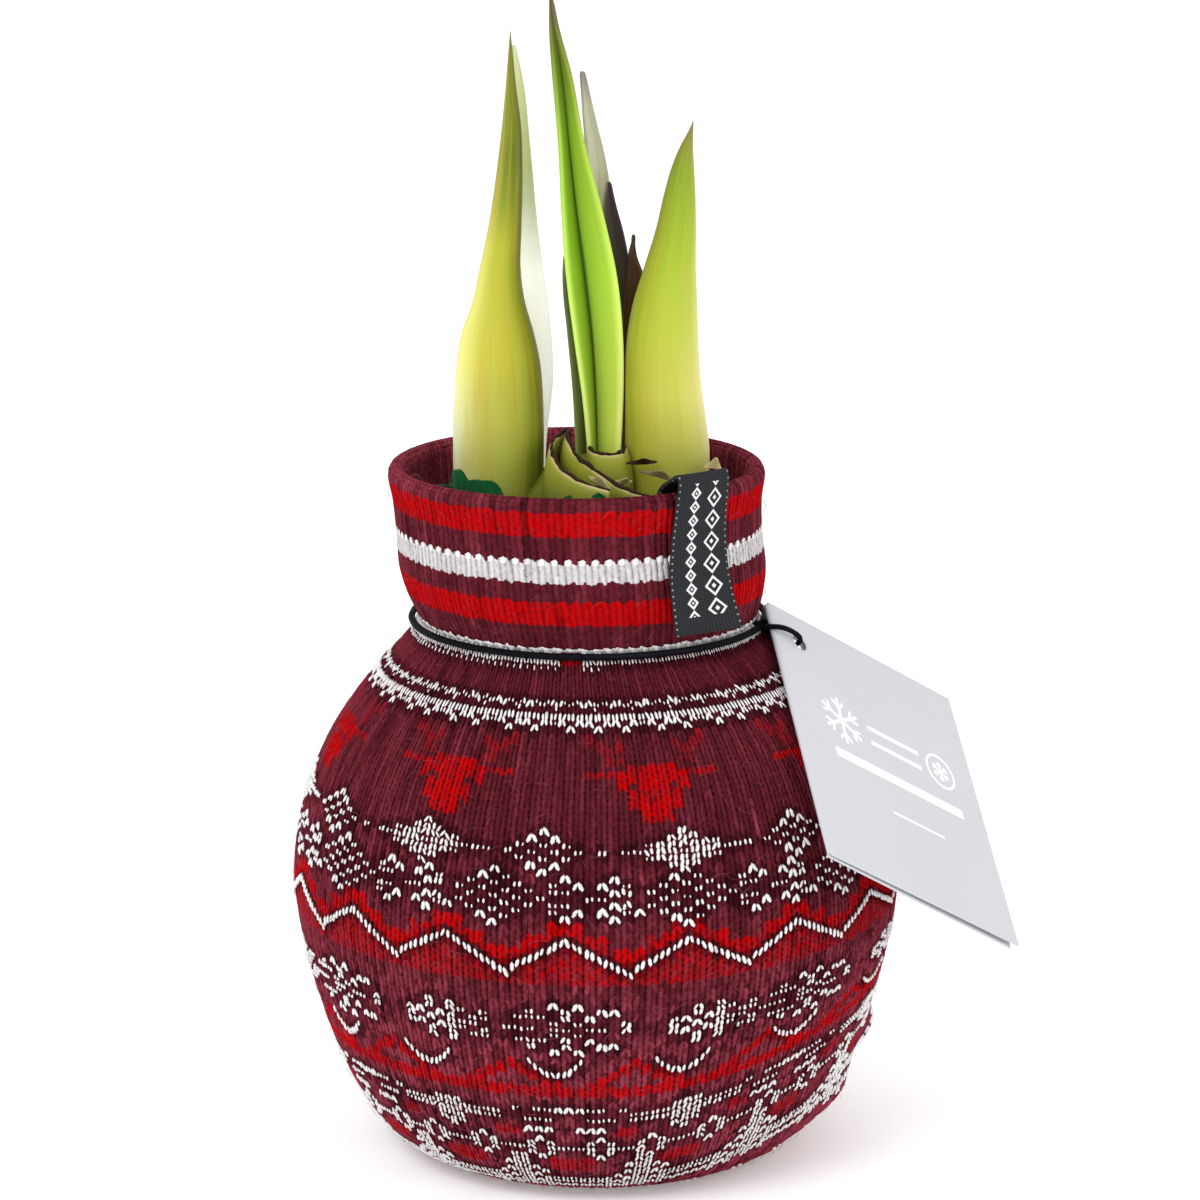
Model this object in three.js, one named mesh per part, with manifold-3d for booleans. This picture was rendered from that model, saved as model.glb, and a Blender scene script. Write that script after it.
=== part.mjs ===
// A forced amaryllis bulb: waxed, dressed in a knitted sleeve with a turned-up collar, and in leaf.
// Millimetres, +Z up. The origin is the middle of the flat spot that it stands on; -Y is the front.

import * as THREE from 'three';
import { mergeVertices } from 'three/addons/utils/BufferGeometryUtils.js';
import Module from 'manifold-3d';

const wasm = await Module();
wasm.setup();

// ---- Driving dimensions ----

const GAP = 0.3;             // clearance between pieces that touch
const WAX = 1.2;             // thickness of the dipped wax coat
const KNIT = 1.6;            // thickness of the single knit over the belly

const BULB_BASE_R = 25;      // flat basal plate
const BULB_BELLY_R = 44.9;   // widest radius of the bare bulb
const BELLY_Z = 42;          // height of that widest place above the floor
const PINCH_Z = 86;          // where the elastic draws the sleeve in
const PINCH_R = 27;          // outer radius of the sleeve there
const NECK_R = 21.6;         // neck of the bulb
const NECK_Z = 106;          // top of the neck's straight side
const CROWN_Z = 113;         // middle of the domed crown that the leaves grow out of
const SOCKET_Z = 99;         // how deep the leaves are rooted in the neck
const SCALE_STEP = 0.45;     // each old scale on the crown ends in a step, twice this high
const MARGIN_R = 0.75;       // dried margin of a scale, rolled into a cord

const COLLAR_R = 29.5;       // outer radius of the turned-up collar at its rim
const CUFF = 2.8;            // thickness of the doubled collar
const COLLAR_BORE_R = 26.2;  // narrowest place inside the collar
const RIM_Z = 109.8;         // centre of the rolled rim
const RIM_ROLL = 0.35;       // the rolled rim stands out from the collar by this much

const LEAN_FROM_Z = 68;      // the neck and collar lean to one side above this height
const LEAN_SPAN = 42;
const LEAN = -3.1;           // sideways shift of the rim

const CORD_R = 0.7;          // elastic cord
const LOOP_R = 0.5;          // the same cord, stretched thin in its loop through the tag
const GROOVE_SLACK = 0.3;    // the cloth bulges up under the cord, so it rides this much higher

const TAG_WIDTH = 43.5;
const TAG_HEIGHT = 50;
const TAG_LEAF = 0.5;        // each leaf of the folded card
const TAG_OPENING = 0.6;     // how far the two leaves spring apart at the free edge
const TAG_CREASE = 0.12;     // and at the crease
const TAG_HOLE_R = 1.6;
const TAG_HOLE_INSET = 5.7;  // from both edges of the corner

const LABEL_WIDTH = 10.8;
const LABEL_DROP = 26;       // length of the outside leg, from its top fold
const LABEL_TUCK = 6;        // length of the inside leg
const LABEL_THICKNESS = 0.5;
const LABEL_FLARE = 0.9;     // its free end stands off the collar by this much
const LABEL_TURN = -52;      // degrees round from +X

const LEAF_THICKNESS = 0.9;

const WAX_EDGE_Z = 98;       // above this height the wax edge wanders up and down
const TOE_FOLD = 1.5;        // how far the gathered cloth stands out at the toe
const TOE_Z = 13;            // height of the gathers, and how far they reach up and round
const TOE_REACH = 8;
const TOE_TURN = 0.05;       // radians round from +X
const TOE_SPREAD = 0.55;
const TOE_PLEATS = 9;        // pleats in a full turn

const ROUND = 40;            // facets round the sleeve, the wax and the bulb
const FLOOR_LAYERS = KNIT + WAX + 2 * GAP;

// ---- Materials ----

function finish(color, roughness, metalness = 0) {
  return new THREE.MeshStandardMaterial({ color, roughness, metalness });
}

const bulbSkin = finish(0xa9b04a, 0.6);
const greenWax = finish(0x0d5a33, 0.3);
const maroonKnit = finish(0x5d1c2b, 0.95);
const blackElastic = finish(0x17161a, 0.8);
const greyCard = finish(0xd5d7da, 0.7);
const blackRibbon = finish(0x1d1e20, 0.75);
const youngGreen = finish(0xa7bd33, 0.45);
const leafGreen = finish(0x8cc63a, 0.4);
const darkGreen = finish(0x56702a, 0.45);
const greyGreen = finish(0xa9ad97, 0.5);
const paleGreen = finish(0xdfe4cf, 0.5);
const purpleBrown = finish(0x4a3a2c, 0.6);
const driedBrown = finish(0x4b3020, 0.85);

// ---- Tools for closed bodies ----

// Shared vertices only, no slivers of no area, and faces that point outwards.
function tidy(geometry) {
  geometry.deleteAttribute('normal');
  geometry.deleteAttribute('uv');
  const merged = mergeVertices(geometry, 1e-4);
  const corners = merged.index.array;
  const kept = [];
  for (let i = 0; i < corners.length; i += 3) {
    const [a, b, c] = [corners[i], corners[i + 1], corners[i + 2]];
    if (a !== b && b !== c && c !== a) kept.push(a, b, c);
  }
  if (volume(merged.attributes.position, kept) < 0) kept.reverse();
  merged.setIndex(kept);
  merged.computeVertexNormals();
  return merged;
}

function volume(position, corners) {
  const [a, b, c] = [new THREE.Vector3(), new THREE.Vector3(), new THREE.Vector3()];
  let sum = 0;
  for (let i = 0; i < corners.length; i += 3) {
    a.fromBufferAttribute(position, corners[i]);
    b.fromBufferAttribute(position, corners[i + 1]);
    c.fromBufferAttribute(position, corners[i + 2]);
    sum += a.dot(b.cross(c));
  }
  return sum / 6;
}

// Moves every vertex by a function of its own place.
function bend(geometry, move) {
  const position = geometry.attributes.position;
  const point = new THREE.Vector3();
  for (let i = 0; i < position.count; i += 1) {
    point.fromBufferAttribute(position, i);
    move(point);
    position.setXYZ(i, point.x, point.y, point.z);
  }
  return geometry;
}

function toManifold(geometry) {
  const clean = tidy(geometry.clone());
  return new wasm.Manifold(new wasm.Mesh({
    numProp: 3,
    vertProperties: new Float32Array(clean.attributes.position.array),
    triVerts: new Uint32Array(clean.index.array),
  }));
}

function fromManifold(body) {
  const mesh = body.getMesh();
  const geometry = new THREE.BufferGeometry();
  geometry.setAttribute('position', new THREE.BufferAttribute(new Float32Array(mesh.vertProperties), 3));
  geometry.setIndex(Array.from(mesh.triVerts));
  geometry.computeVertexNormals();
  return geometry;
}

// Turns an [r, z] profile round the Z axis.
function revolve(profile, facets = ROUND) {
  const points = profile.map(([r, z]) => new THREE.Vector2(r, z));
  return tidy(new THREE.LatheGeometry(points, facets).rotateX(Math.PI / 2));
}

// A smooth [r, z] line through a few points, and the same line set off along its own normals.
function smoothLine(points, steps) {
  const curve = new THREE.SplineCurve(points.map(([r, z]) => new THREE.Vector2(r, z)));
  return curve.getPoints(steps).map((p) => [p.x, p.y]);
}

function offset(line, distance) {
  return line.map(([r, z], i) => {
    const [r0, z0] = line[Math.max(i - 1, 0)];
    const [r1, z1] = line[Math.min(i + 1, line.length - 1)];
    const length = Math.hypot(r1 - r0, z1 - z0);
    return [r + distance * (z1 - z0) / length, z - distance * (r1 - r0) / length];
  });
}

// Skins a stack of rings with the same number of points. Each ring runs along the front from one
// edge to the other and then back along the rear, so its two halves close the ends.
function loft(rings) {
  const count = rings[0].length;
  const positions = rings.flat().flatMap((p) => [p.x, p.y, p.z]);
  const corners = [];
  const quad = (a, b, c, d) => corners.push(a, b, c, a, c, d);
  for (let level = 0; level + 1 < rings.length; level += 1) {
    for (let i = 0; i < count; i += 1) {
      const next = (i + 1) % count;
      quad(level * count + i, level * count + next, (level + 1) * count + next, (level + 1) * count + i);
    }
  }
  const top = (rings.length - 1) * count;
  for (let i = 0; i + 1 < count / 2; i += 1) {
    quad(i, count - 1 - i, count - 2 - i, i + 1);
    quad(top + i, top + i + 1, top + count - 2 - i, top + count - 1 - i);
  }
  const geometry = new THREE.BufferGeometry();
  geometry.setAttribute('position', new THREE.Float32BufferAttribute(positions, 3));
  geometry.setIndex(corners);
  return tidy(geometry);
}

// A round cord along a curve, with eight sides.
function cord(curve, radius, steps) {
  const section = new THREE.Shape().absarc(0, 0, radius, 0, 2 * Math.PI);
  const options = { extrudePath: curve, steps, curveSegments: 4, bevelEnabled: false };
  return new THREE.ExtrudeGeometry(section, options);
}

// The neck and the collar lean over by this much at a height.
function lean(z) {
  const t = THREE.MathUtils.clamp((z - LEAN_FROM_Z) / LEAN_SPAN, 0, 1);
  return LEAN * t * t * (3 - 2 * t);
}

function leaning(geometry) {
  return bend(geometry, (p) => { p.x += lean(p.z); });
}

// ---- The bulb's own outline: every layer over it is set off from this line ----

const bulbSide = smoothLine([
  [BULB_BASE_R, FLOOR_LAYERS],
  [31.8, 6.3],
  [37, 14],
  [BULB_BELLY_R - 3.4, 26],
  [BULB_BELLY_R, BELLY_Z],
  [BULB_BELLY_R - 1.4, 55],
  [38.9, 66.5],
  [32, 75.5],
  [PINCH_R - FLOOR_LAYERS - 0.8, PINCH_Z],
  [NECK_R + 0.1, 93],
  [NECK_R, NECK_Z],
], 17);

// ---- Leaves and buds ----

// A folded leaf: at each height its left edge, its crease and its right edge, as [x, y].
const outward = [-1, 0, 0, 0, 1];

function foldedLeaf(stations, thickness, grow = 0) {
  return loft(stations.map(({ z, left, crease, right }) => {
    const front = [left, midway(left, crease), crease, midway(crease, right), right]
      .map(([x, y]) => new THREE.Vector2(x, y));
    const wide = front[0].distanceTo(front[4]);
    const half = Math.min(thickness, 0.35 * wide + 0.2) / 2 + grow;
    const side = (sign) => front.map((p, i) => {
      const along = front[Math.min(i + 1, 4)].clone().sub(front[Math.max(i - 1, 0)]).normalize();
      const reach = grow * outward[i];
      return new THREE.Vector3(
        p.x + reach * along.x + sign * half * along.y,
        p.y + reach * along.y - sign * half * along.x,
        z,
      );
    });
    return [...side(1), ...side(-1).reverse()];
  }));
}

function midway(a, b) {
  return [(a[0] + b[0]) / 2, (a[1] + b[1]) / 2];
}

// A plump shoot: at each height its left and right edges, with a depth that follows its width.
function plumpShoot({ edges, y, depth, slimming }, grow = 0) {
  const sides = 16;
  return loft(edges.map(([z, left, right]) => {
    const middle = (left + right) / 2;
    const halfWidth = (right - left) / 2;
    const halfDepth = Math.min(depth, slimming * halfWidth + 0.3);
    const ring = [];
    for (let i = 0; i < sides; i += 1) {
      const turn = Math.PI - (2 * Math.PI * i) / sides;
      ring.push(new THREE.Vector3(
        middle + (halfWidth + grow) * Math.cos(turn),
        y - (halfDepth + grow) * Math.sin(turn),
        z,
      ));
    }
    return ring;
  }));
}

const leftShoot = {
  y: 0,
  depth: 5.4,
  slimming: 0.78,
  edges: [
    [SOCKET_Z, -20.9, -9.1], [106, -22, -8.3], [114, -22.2, -8.1], [121, -22, -8.2], [126, -21.6, -8.6],
    [131, -20.8, -9.6], [136, -19.3, -10.8], [141, -18.2, -11.5], [147, -16.9, -11.4],
    [155, -15.6, -11.2], [163, -14.6, -11.4], [170, -14, -12.2], [175, -13.6, -12.7], [178, -13.35, -12.95],
  ],
};

const rightShoot = {
  y: -1,
  depth: 5.6,
  slimming: 0.82,
  edges: [
    [SOCKET_Z, 5.8, 16.6], [106, 5, 17.3], [113, 4.7, 17.5], [118, 4.7, 16.9], [124, 4.7, 16.1],
    [130, 4.9, 15.7], [136, 5.9, 15.5], [142, 7.5, 15.5], [148, 9.3, 15.5], [153, 10.4, 15.4],
    [157, 11.5, 15.2], [160.5, 12.8, 15.1], [163, 14.2, 15.1], [164.5, 14.8, 15.15],
  ],
};

const tallLeaf = [
  { z: SOCKET_Z, left: [-0.6, -2.6], crease: [0.2, 0.4], right: [3.3, -2.2] },
  { z: 112, left: [-0.7, -3], crease: [0, 0.6], right: [3.6, -2.5] },
  { z: 121, left: [-1.5, -3.6], crease: [-0.2, 0.9], right: [4, -2.7] },
  { z: 130, left: [-2.8, -3.9], crease: [-0.7, 1], right: [4, -2.8] },
  { z: 140, left: [-4.1, -3.6], crease: [-1.8, 1], right: [3.1, -2.6] },
  { z: 150, left: [-4.8, -3], crease: [-3.1, 0.7], right: [0.9, -2.1] },
  { z: 161, left: [-5.3, -2.3], crease: [-4.2, 0.3], right: [-2.1, -1.6] },
  { z: 172, left: [-6.3, -1.6], crease: [-5.2, -0.1], right: [-4.3, -1.2] },
  { z: 179, left: [-7.1, -1.1], crease: [-6.5, -0.4], right: [-6.1, -0.9] },
  { z: 183, left: [-7.2, -0.8], crease: [-6.9, -0.6], right: [-6.6, -0.8] },
];

const thinLeaf = [
  { z: SOCKET_Z, left: [-3, 3.2], crease: [-1.5, 3.7], right: [0, 3.5] },
  { z: 113, left: [-3.3, 3.1], crease: [-1.7, 3.7], right: [-0.1, 3.4] },
  { z: 122, left: [-3.6, 2.9], crease: [-2.2, 3.6], right: [-0.8, 3.3] },
  { z: 131, left: [-4.4, 2.6], crease: [-3.1, 3.3], right: [-1.8, 3.1] },
  { z: 138, left: [-5, 2.4], crease: [-3.9, 3], right: [-2.9, 2.9] },
  { z: 141.5, left: [-5.1, 2.4], crease: [-4.4, 2.8], right: [-3.7, 2.7] },
  { z: 143, left: [-4.9, 2.4], crease: [-4.6, 2.6], right: [-4.3, 2.6] },
];

const greyLeaf = [
  { z: SOCKET_Z, left: [-3, 8.6], crease: [1, 10.3], right: [5, 9] },
  { z: 115, left: [-2.6, 8.6], crease: [1.2, 10.3], right: [5, 9] },
  { z: 132, left: [-2, 8.5], crease: [1.1, 10], right: [4.3, 8.9] },
  { z: 147, left: [-1.5, 8.4], crease: [0.6, 9.6], right: [2.8, 8.7] },
  { z: 157, left: [-1.4, 8.3], crease: [-0.1, 9.1], right: [1.3, 8.5] },
  { z: 164, left: [-1.9, 8.2], crease: [-1.2, 8.7], right: [-0.3, 8.4] },
  { z: 171, left: [-2.5, 8.1], crease: [-2.2, 8.3], right: [-1.8, 8.2] },
];

const purpleLeaf = [
  { z: SOCKET_Z, left: [0.4, 5.9], crease: [2.6, 7], right: [4.8, 6.5] },
  { z: 115, left: [0.2, 5.8], crease: [2.8, 7], right: [5.4, 6.5] },
  { z: 128, left: [0.2, 5.8], crease: [3, 7], right: [5.8, 6.5] },
  { z: 138, left: [0.4, 5.8], crease: [3, 6.9], right: [5.6, 6.4] },
  { z: 146, left: [0.9, 5.9], crease: [2.6, 6.7], right: [4.2, 6.3] },
  { z: 151, left: [1.3, 6], crease: [2, 6.4], right: [2.8, 6.2] },
  { z: 154, left: [1.6, 6.1], crease: [1.9, 6.2], right: [2.2, 6.1] },
];

const paleLeaf = [
  { z: SOCKET_Z, left: [-15, 7.2], crease: [-11.6, 8.3], right: [-8.2, 7.2] },
  { z: 113, left: [-15.8, 7.1], crease: [-11.8, 8.3], right: [-7.8, 7.1] },
  { z: 123, left: [-16.2, 6.9], crease: [-11.6, 8.2], right: [-6.7, 6.9] },
  { z: 133, left: [-15.9, 6.6], crease: [-11.7, 7.8], right: [-7.3, 6.6] },
  { z: 146, left: [-15.3, 5.9], crease: [-12.1, 7], right: [-9, 5.9] },
  { z: 160, left: [-14.6, 5.1], crease: [-12.5, 5.9], right: [-10.3, 5.1] },
  { z: 170, left: [-13.8, 4.5], crease: [-12.6, 5], right: [-11.5, 4.5] },
  { z: 175.5, left: [-13.3, 4.2], crease: [-12.9, 4.4], right: [-12.5, 4.2] },
];

// What is left of an old flower stalk: a thin dry strip with a curled tip.
const driedScape = [
  { z: SOCKET_Z, left: [4.6, 4.5], crease: [5.6, 5.1], right: [6.6, 4.7] },
  { z: 120, left: [4.5, 4.5], crease: [5.6, 5.1], right: [6.8, 4.7] },
  { z: 135, left: [4.5, 4.4], crease: [5.7, 5], right: [7.1, 4.6] },
  { z: 139.5, left: [5.1, 4.3], crease: [6.2, 4.8], right: [7.3, 4.5] },
  { z: 142, left: [5.1, 4.3], crease: [5.8, 4.6], right: [6.4, 4.5] },
  { z: 146, left: [5.6, 4.3], crease: [5.8, 4.4], right: [6, 4.4] },
];

const growths = [
  ['leaf_tall', tallLeaf, leafGreen],
  ['leaf_thin', thinLeaf, darkGreen],
  ['leaf_grey', greyLeaf, greyGreen],
  ['leaf_purple', purpleLeaf, purpleBrown],
  ['leaf_pale', paleLeaf, paleGreen],
  ['dried_scape', driedScape, driedBrown],
];

// ---- The bulb: a globe on its basal plate, a neck, and a stepped crown of old scale ends ----

function crownHeight(r) {
  return NECK_Z + (CROWN_Z - NECK_Z) * (1 - (r / NECK_R) ** 2);
}

function bulbGeometry() {
  const scaleRadii = [NECK_R - 1.2, 15.5, 10.5, 5];
  const crown = scaleRadii.flatMap((r) => [
    [r + SCALE_STEP, crownHeight(r) - SCALE_STEP],
    [r, crownHeight(r) + SCALE_STEP],
  ]);
  const globe = leaning(revolve([[0, FLOOR_LAYERS], ...bulbSide, ...crown, [0, CROWN_Z]]));
  const whole = scaleMargins().reduce((body, margin) => body.add(margin), toManifold(globe));
  return fromManifold(whole.subtract(sockets()));
}

// The dried, cord-like margins of two old scales that wrap the leaves on the front of the crown.
function scaleMargins() {
  const margins = [
    [[-5, -2], [-6.8, -8], [-6.4, -12], [-4.6, -15.2], [-1.4, -17.6], [2.6, -18.4]],
    [[-4, -3.5], [-4, -6.6], [-2.8, -9.6], [-0.6, -12.4], [2, -15], [6, -17.4]],
  ];
  return margins.map((points) => {
    const route = points.map(([x, y]) => {
      const height = crownHeight(Math.hypot(x - LEAN, y));
      return new THREE.Vector3(x, y, height + MARGIN_R / 2);
    });
    return toManifold(cord(new THREE.CatmullRomCurve3(route), MARGIN_R, 16));
  });
}

// The holes that the shoots and leaves come out of: their own shapes, a gap larger.
function sockets() {
  const sunk = (stations) => [{ ...stations[0], z: SOCKET_Z - GAP }, ...stations.slice(1)];
  const shoots = [leftShoot, rightShoot].map((shoot) => {
    const [first, ...rest] = shoot.edges;
    const edges = [[SOCKET_Z - GAP, first[1], first[2]], ...rest];
    return toManifold(plumpShoot({ ...shoot, edges }, GAP));
  });
  const leaves = growths.map(([, stations]) => toManifold(foldedLeaf(sunk(stations), LEAF_THICKNESS, GAP)));
  return [...shoots, ...leaves].reduce((all, hole) => all.add(hole));
}

// ---- The wax: a dipped coat from the base to a ragged edge on the neck ----

function waxGeometry() {
  const inside = offset(bulbSide, GAP);
  const outside = offset(bulbSide, GAP + WAX);
  const wall = [[0, KNIT + GAP], ...outside, ...inside.reverse(), [0, FLOOR_LAYERS - GAP]];
  const coat = leaning(revolve(wall));
  return tidy(bend(coat, (p) => {
    const t = Math.max(0, (p.z - WAX_EDGE_Z) / (NECK_Z - WAX_EDGE_Z));
    p.z += t * t * waxRise(Math.atan2(p.y, p.x - LEAN));
  }));
}

// How far the edge of the wax climbs: highest at the front left, with lobes and small teeth.
function waxRise(turn) {
  const slope = 1.6 * Math.cos(turn + 2.4);
  const lobes = 1.1 * Math.sin(5 * turn);
  const teeth = 0.7 * Math.sin(11 * turn + 1);
  return 0.8 + slope + lobes + teeth;
}

// ---- The sleeve: a closed-toe knitted tube whose top is doubled into a standing collar ----

function sleeveGeometry() {
  const collarOutside = smoothLine([
    [PINCH_R, PINCH_Z],
    [COLLAR_R - 1.4, 89],
    [COLLAR_R - 0.3, 94.5],
    [COLLAR_R - 0.5, 102],
    [COLLAR_R, RIM_Z],
  ], 6);
  const collarInside = smoothLine([
    [COLLAR_R - CUFF, RIM_Z],
    [COLLAR_BORE_R, 102],
    [COLLAR_BORE_R, 94.5],
    [PINCH_R - KNIT, PINCH_Z],
  ], 4);
  const rim = rolledRim(COLLAR_R + RIM_ROLL, COLLAR_R - CUFF);
  const outside = offset(bulbSide, FLOOR_LAYERS).filter(([, z]) => z < PINCH_Z - 1.4);
  const inside = offset(bulbSide, WAX + 2 * GAP).filter(([, z]) => z < PINCH_Z - 0.4).reverse();
  const outer = [[0, 0], ...outside, ...collarOutside];
  const inner = [...collarInside, ...inside, [0, KNIT]];
  outside[0][1] = 0;
  inside[inside.length - 1][1] = KNIT;
  const sleeve = revolve([...outer, ...rim, ...inner]);
  return tidy(leaning(bend(sleeve, (p) => gather(p, inner))));
}

// The half round over the two layers of the collar.
function rolledRim(outerR, innerR) {
  const middle = (outerR + innerR) / 2;
  const radius = (outerR - innerR) / 2;
  return [30, 70, 110, 150].map((turn) => {
    const angle = THREE.MathUtils.degToRad(turn);
    return [middle + radius * Math.cos(angle), RIM_Z + radius * Math.sin(angle)];
  });
}

// Spare cloth gathers in soft folds at the toe, low on the right. Only the outside moves.
function gather(p, inner) {
  const r = Math.hypot(p.x, p.y);
  const onInside = inner.some(([ri, zi]) => Math.abs(ri - r) < 1e-3 && Math.abs(zi - p.z) < 1e-3);
  if (onInside || p.z < 0.5) return;
  const turn = Math.atan2(p.y, p.x);
  const nearness = Math.exp(-(((p.z - TOE_Z) / TOE_REACH) ** 2) - ((turn - TOE_TURN) / TOE_SPREAD) ** 2);
  const fold = TOE_FOLD * nearness * (0.6 + 0.4 * Math.cos(TOE_PLEATS * turn));
  p.x += fold * p.x / r;
  p.y += fold * p.y / r;
}

// ---- The elastic: one ring round the neck, with a loop through the tag ----

const tagAcross = new THREE.Vector3(0.69, 0.52, -0.5).normalize();
const tagDown = new THREE.Vector3(0.17, -0.79, -0.59);
tagDown.addScaledVector(tagAcross, -tagDown.dot(tagAcross)).normalize();
const tagOut = new THREE.Vector3().crossVectors(tagDown, tagAcross);
const tagCorner = new THREE.Vector3(26.8, -5.3, 89.2);

// The card leans on the shoulder of the sleeve, so its plane is moved out to touch it.
function tagPlane(sleeve) {
  const position = sleeve.attributes.position;
  const point = new THREE.Vector3();
  let reach = -Infinity;
  for (let i = 0; i < position.count; i += 1) {
    point.fromBufferAttribute(position, i);
    if (point.z < PINCH_Z - 2) reach = Math.max(reach, point.dot(tagOut));
  }
  const shift = reach + GAP - tagCorner.dot(tagOut);
  return tagCorner.clone().addScaledVector(tagOut, shift);
}

function onTag(corner, across, down, out) {
  return corner.clone().addScaledVector(tagAcross, across).addScaledVector(tagDown, down)
    .addScaledVector(tagOut, out);
}

// The loop leaves the ring, goes round the folded edge of the card, through the hole and back.
function elasticGeometry(corner) {
  const ringR = PINCH_R + GAP + CORD_R + GROOVE_SLACK;
  const centre = lean(PINCH_Z);
  const ring = new THREE.TorusGeometry(ringR, CORD_R, 8, ROUND).translate(centre, 0, PINCH_Z);
  const thick = 2 * TAG_LEAF + TAG_OPENING;
  const hole = onTag(corner, TAG_HOLE_INSET, TAG_HOLE_INSET, thick / 2);
  const turn = Math.atan2(hole.y, hole.x - centre) - 0.06;
  const knot = new THREE.Vector3(centre + ringR * Math.cos(turn), ringR * Math.sin(turn), PINCH_Z);
  const clear = LOOP_R + 0.4;
  const route = [
    [-1.4, thick / 2],
    [0.4, thick + clear],
    [TAG_HOLE_INSET - 0.7, thick + clear],
    [TAG_HOLE_INSET + 0.2, thick / 2],
    [TAG_HOLE_INSET - 0.7, -clear],
    [2.4, -clear],
  ].map(([across, out]) => onTag(corner, across, TAG_HOLE_INSET, out));
  const loop = new THREE.CatmullRomCurve3([knot, ...route], true);
  return fromManifold(toManifold(ring).add(toManifold(cord(loop, LOOP_R, 28))));
}

// ---- The tag: one card folded down its left side, punched in the corner ----

function tagGeometry(corner) {
  const deep = 2 * TAG_LEAF + TAG_OPENING;
  const rearWidth = TAG_WIDTH - TAG_OPENING;
  const section = new THREE.Shape([
    [0, 0],
    [rearWidth, 0],
    [rearWidth, TAG_LEAF],
    [TAG_LEAF, TAG_LEAF],
    [TAG_LEAF, TAG_LEAF + TAG_CREASE],
    [TAG_WIDTH, deep - TAG_LEAF],
    [TAG_WIDTH, deep],
    [0, 2 * TAG_LEAF + TAG_CREASE],
  ].map(([x, y]) => new THREE.Vector2(x, y)));
  const card = new THREE.ExtrudeGeometry(section, { depth: TAG_HEIGHT, bevelEnabled: false });
  const punch = new THREE.CylinderGeometry(TAG_HOLE_R, TAG_HOLE_R, 4 * deep, 16)
    .translate(TAG_HOLE_INSET, deep / 2, TAG_HOLE_INSET);
  const place = new THREE.Matrix4().makeBasis(tagAcross, tagOut, tagDown).setPosition(corner);
  const punched = fromManifold(toManifold(card).subtract(toManifold(punch)));
  return tidy(punched.applyMatrix4(place));
}

// ---- The label: a woven ribbon sewn over the rim, hanging down outside ----

function labelGeometry() {
  const halfTurn = LABEL_WIDTH / 2 / COLLAR_BORE_R;
  const insideR = COLLAR_BORE_R * Math.cos(halfTurn) - GAP - LABEL_THICKNESS;
  const outsideR = COLLAR_R + RIM_ROLL + GAP;
  const middle = (insideR + outsideR + LABEL_THICKNESS) / 2;
  const bendR = outsideR - middle + LABEL_THICKNESS;
  const bendZ = RIM_Z + 1;
  const hemZ = bendZ + bendR - LABEL_DROP;
  const leg = (side) => [0, 0.2, 0.4, 0.6, 0.8].map((t) => {
    const flare = LABEL_FLARE * (1 - t) ** 2;
    return new THREE.Vector2(side + flare, hemZ + t * (bendZ - hemZ));
  });
  const outline = new THREE.Shape(leg(outsideR + LABEL_THICKNESS));
  outline.absarc(middle, bendZ, bendR, 0, Math.PI);
  outline.lineTo(insideR, bendZ - LABEL_TUCK);
  outline.lineTo(insideR + LABEL_THICKNESS, bendZ - LABEL_TUCK);
  outline.absarc(middle, bendZ, bendR - LABEL_THICKNESS, Math.PI, 0, true);
  leg(outsideR).reverse().forEach((p) => outline.lineTo(p.x, p.y));
  outline.closePath();
  const options = { depth: LABEL_WIDTH, curveSegments: 8, bevelEnabled: false };
  const ribbon = new THREE.ExtrudeGeometry(outline, options)
    .translate(0, 0, -LABEL_WIDTH / 2)
    .rotateX(Math.PI / 2)
    .rotateZ(THREE.MathUtils.degToRad(LABEL_TURN));
  return leaning(tidy(ribbon));
}

// ---- Assembly ----

const group = new THREE.Group();

function place(name, geometry, material) {
  const mesh = new THREE.Mesh(geometry, material);
  mesh.name = name;
  group.add(mesh);
}

const sleeve = sleeveGeometry();
const corner = tagPlane(sleeve);

place('bulb', bulbGeometry(), bulbSkin);
place('wax_coat', waxGeometry(), greenWax);
place('knit_sleeve', sleeve, maroonKnit);
place('elastic_cord', elasticGeometry(corner), blackElastic);
place('hang_tag', tagGeometry(corner), greyCard);
place('woven_label', labelGeometry(), blackRibbon);
place('shoot_left', plumpShoot(leftShoot), youngGreen);
place('shoot_right', plumpShoot(rightShoot), youngGreen);
for (const [name, stations, material] of growths) {
  place(name, foldedLeaf(stations, LEAF_THICKNESS), material);
}

export default group;
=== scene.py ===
"""A forced amaryllis bulb, dipped in wax, dressed in a knitted sleeve and in leaf.

Metres, +Z up. The bulb stands on z = 0 and -Y is its front.
"""

import math

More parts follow.
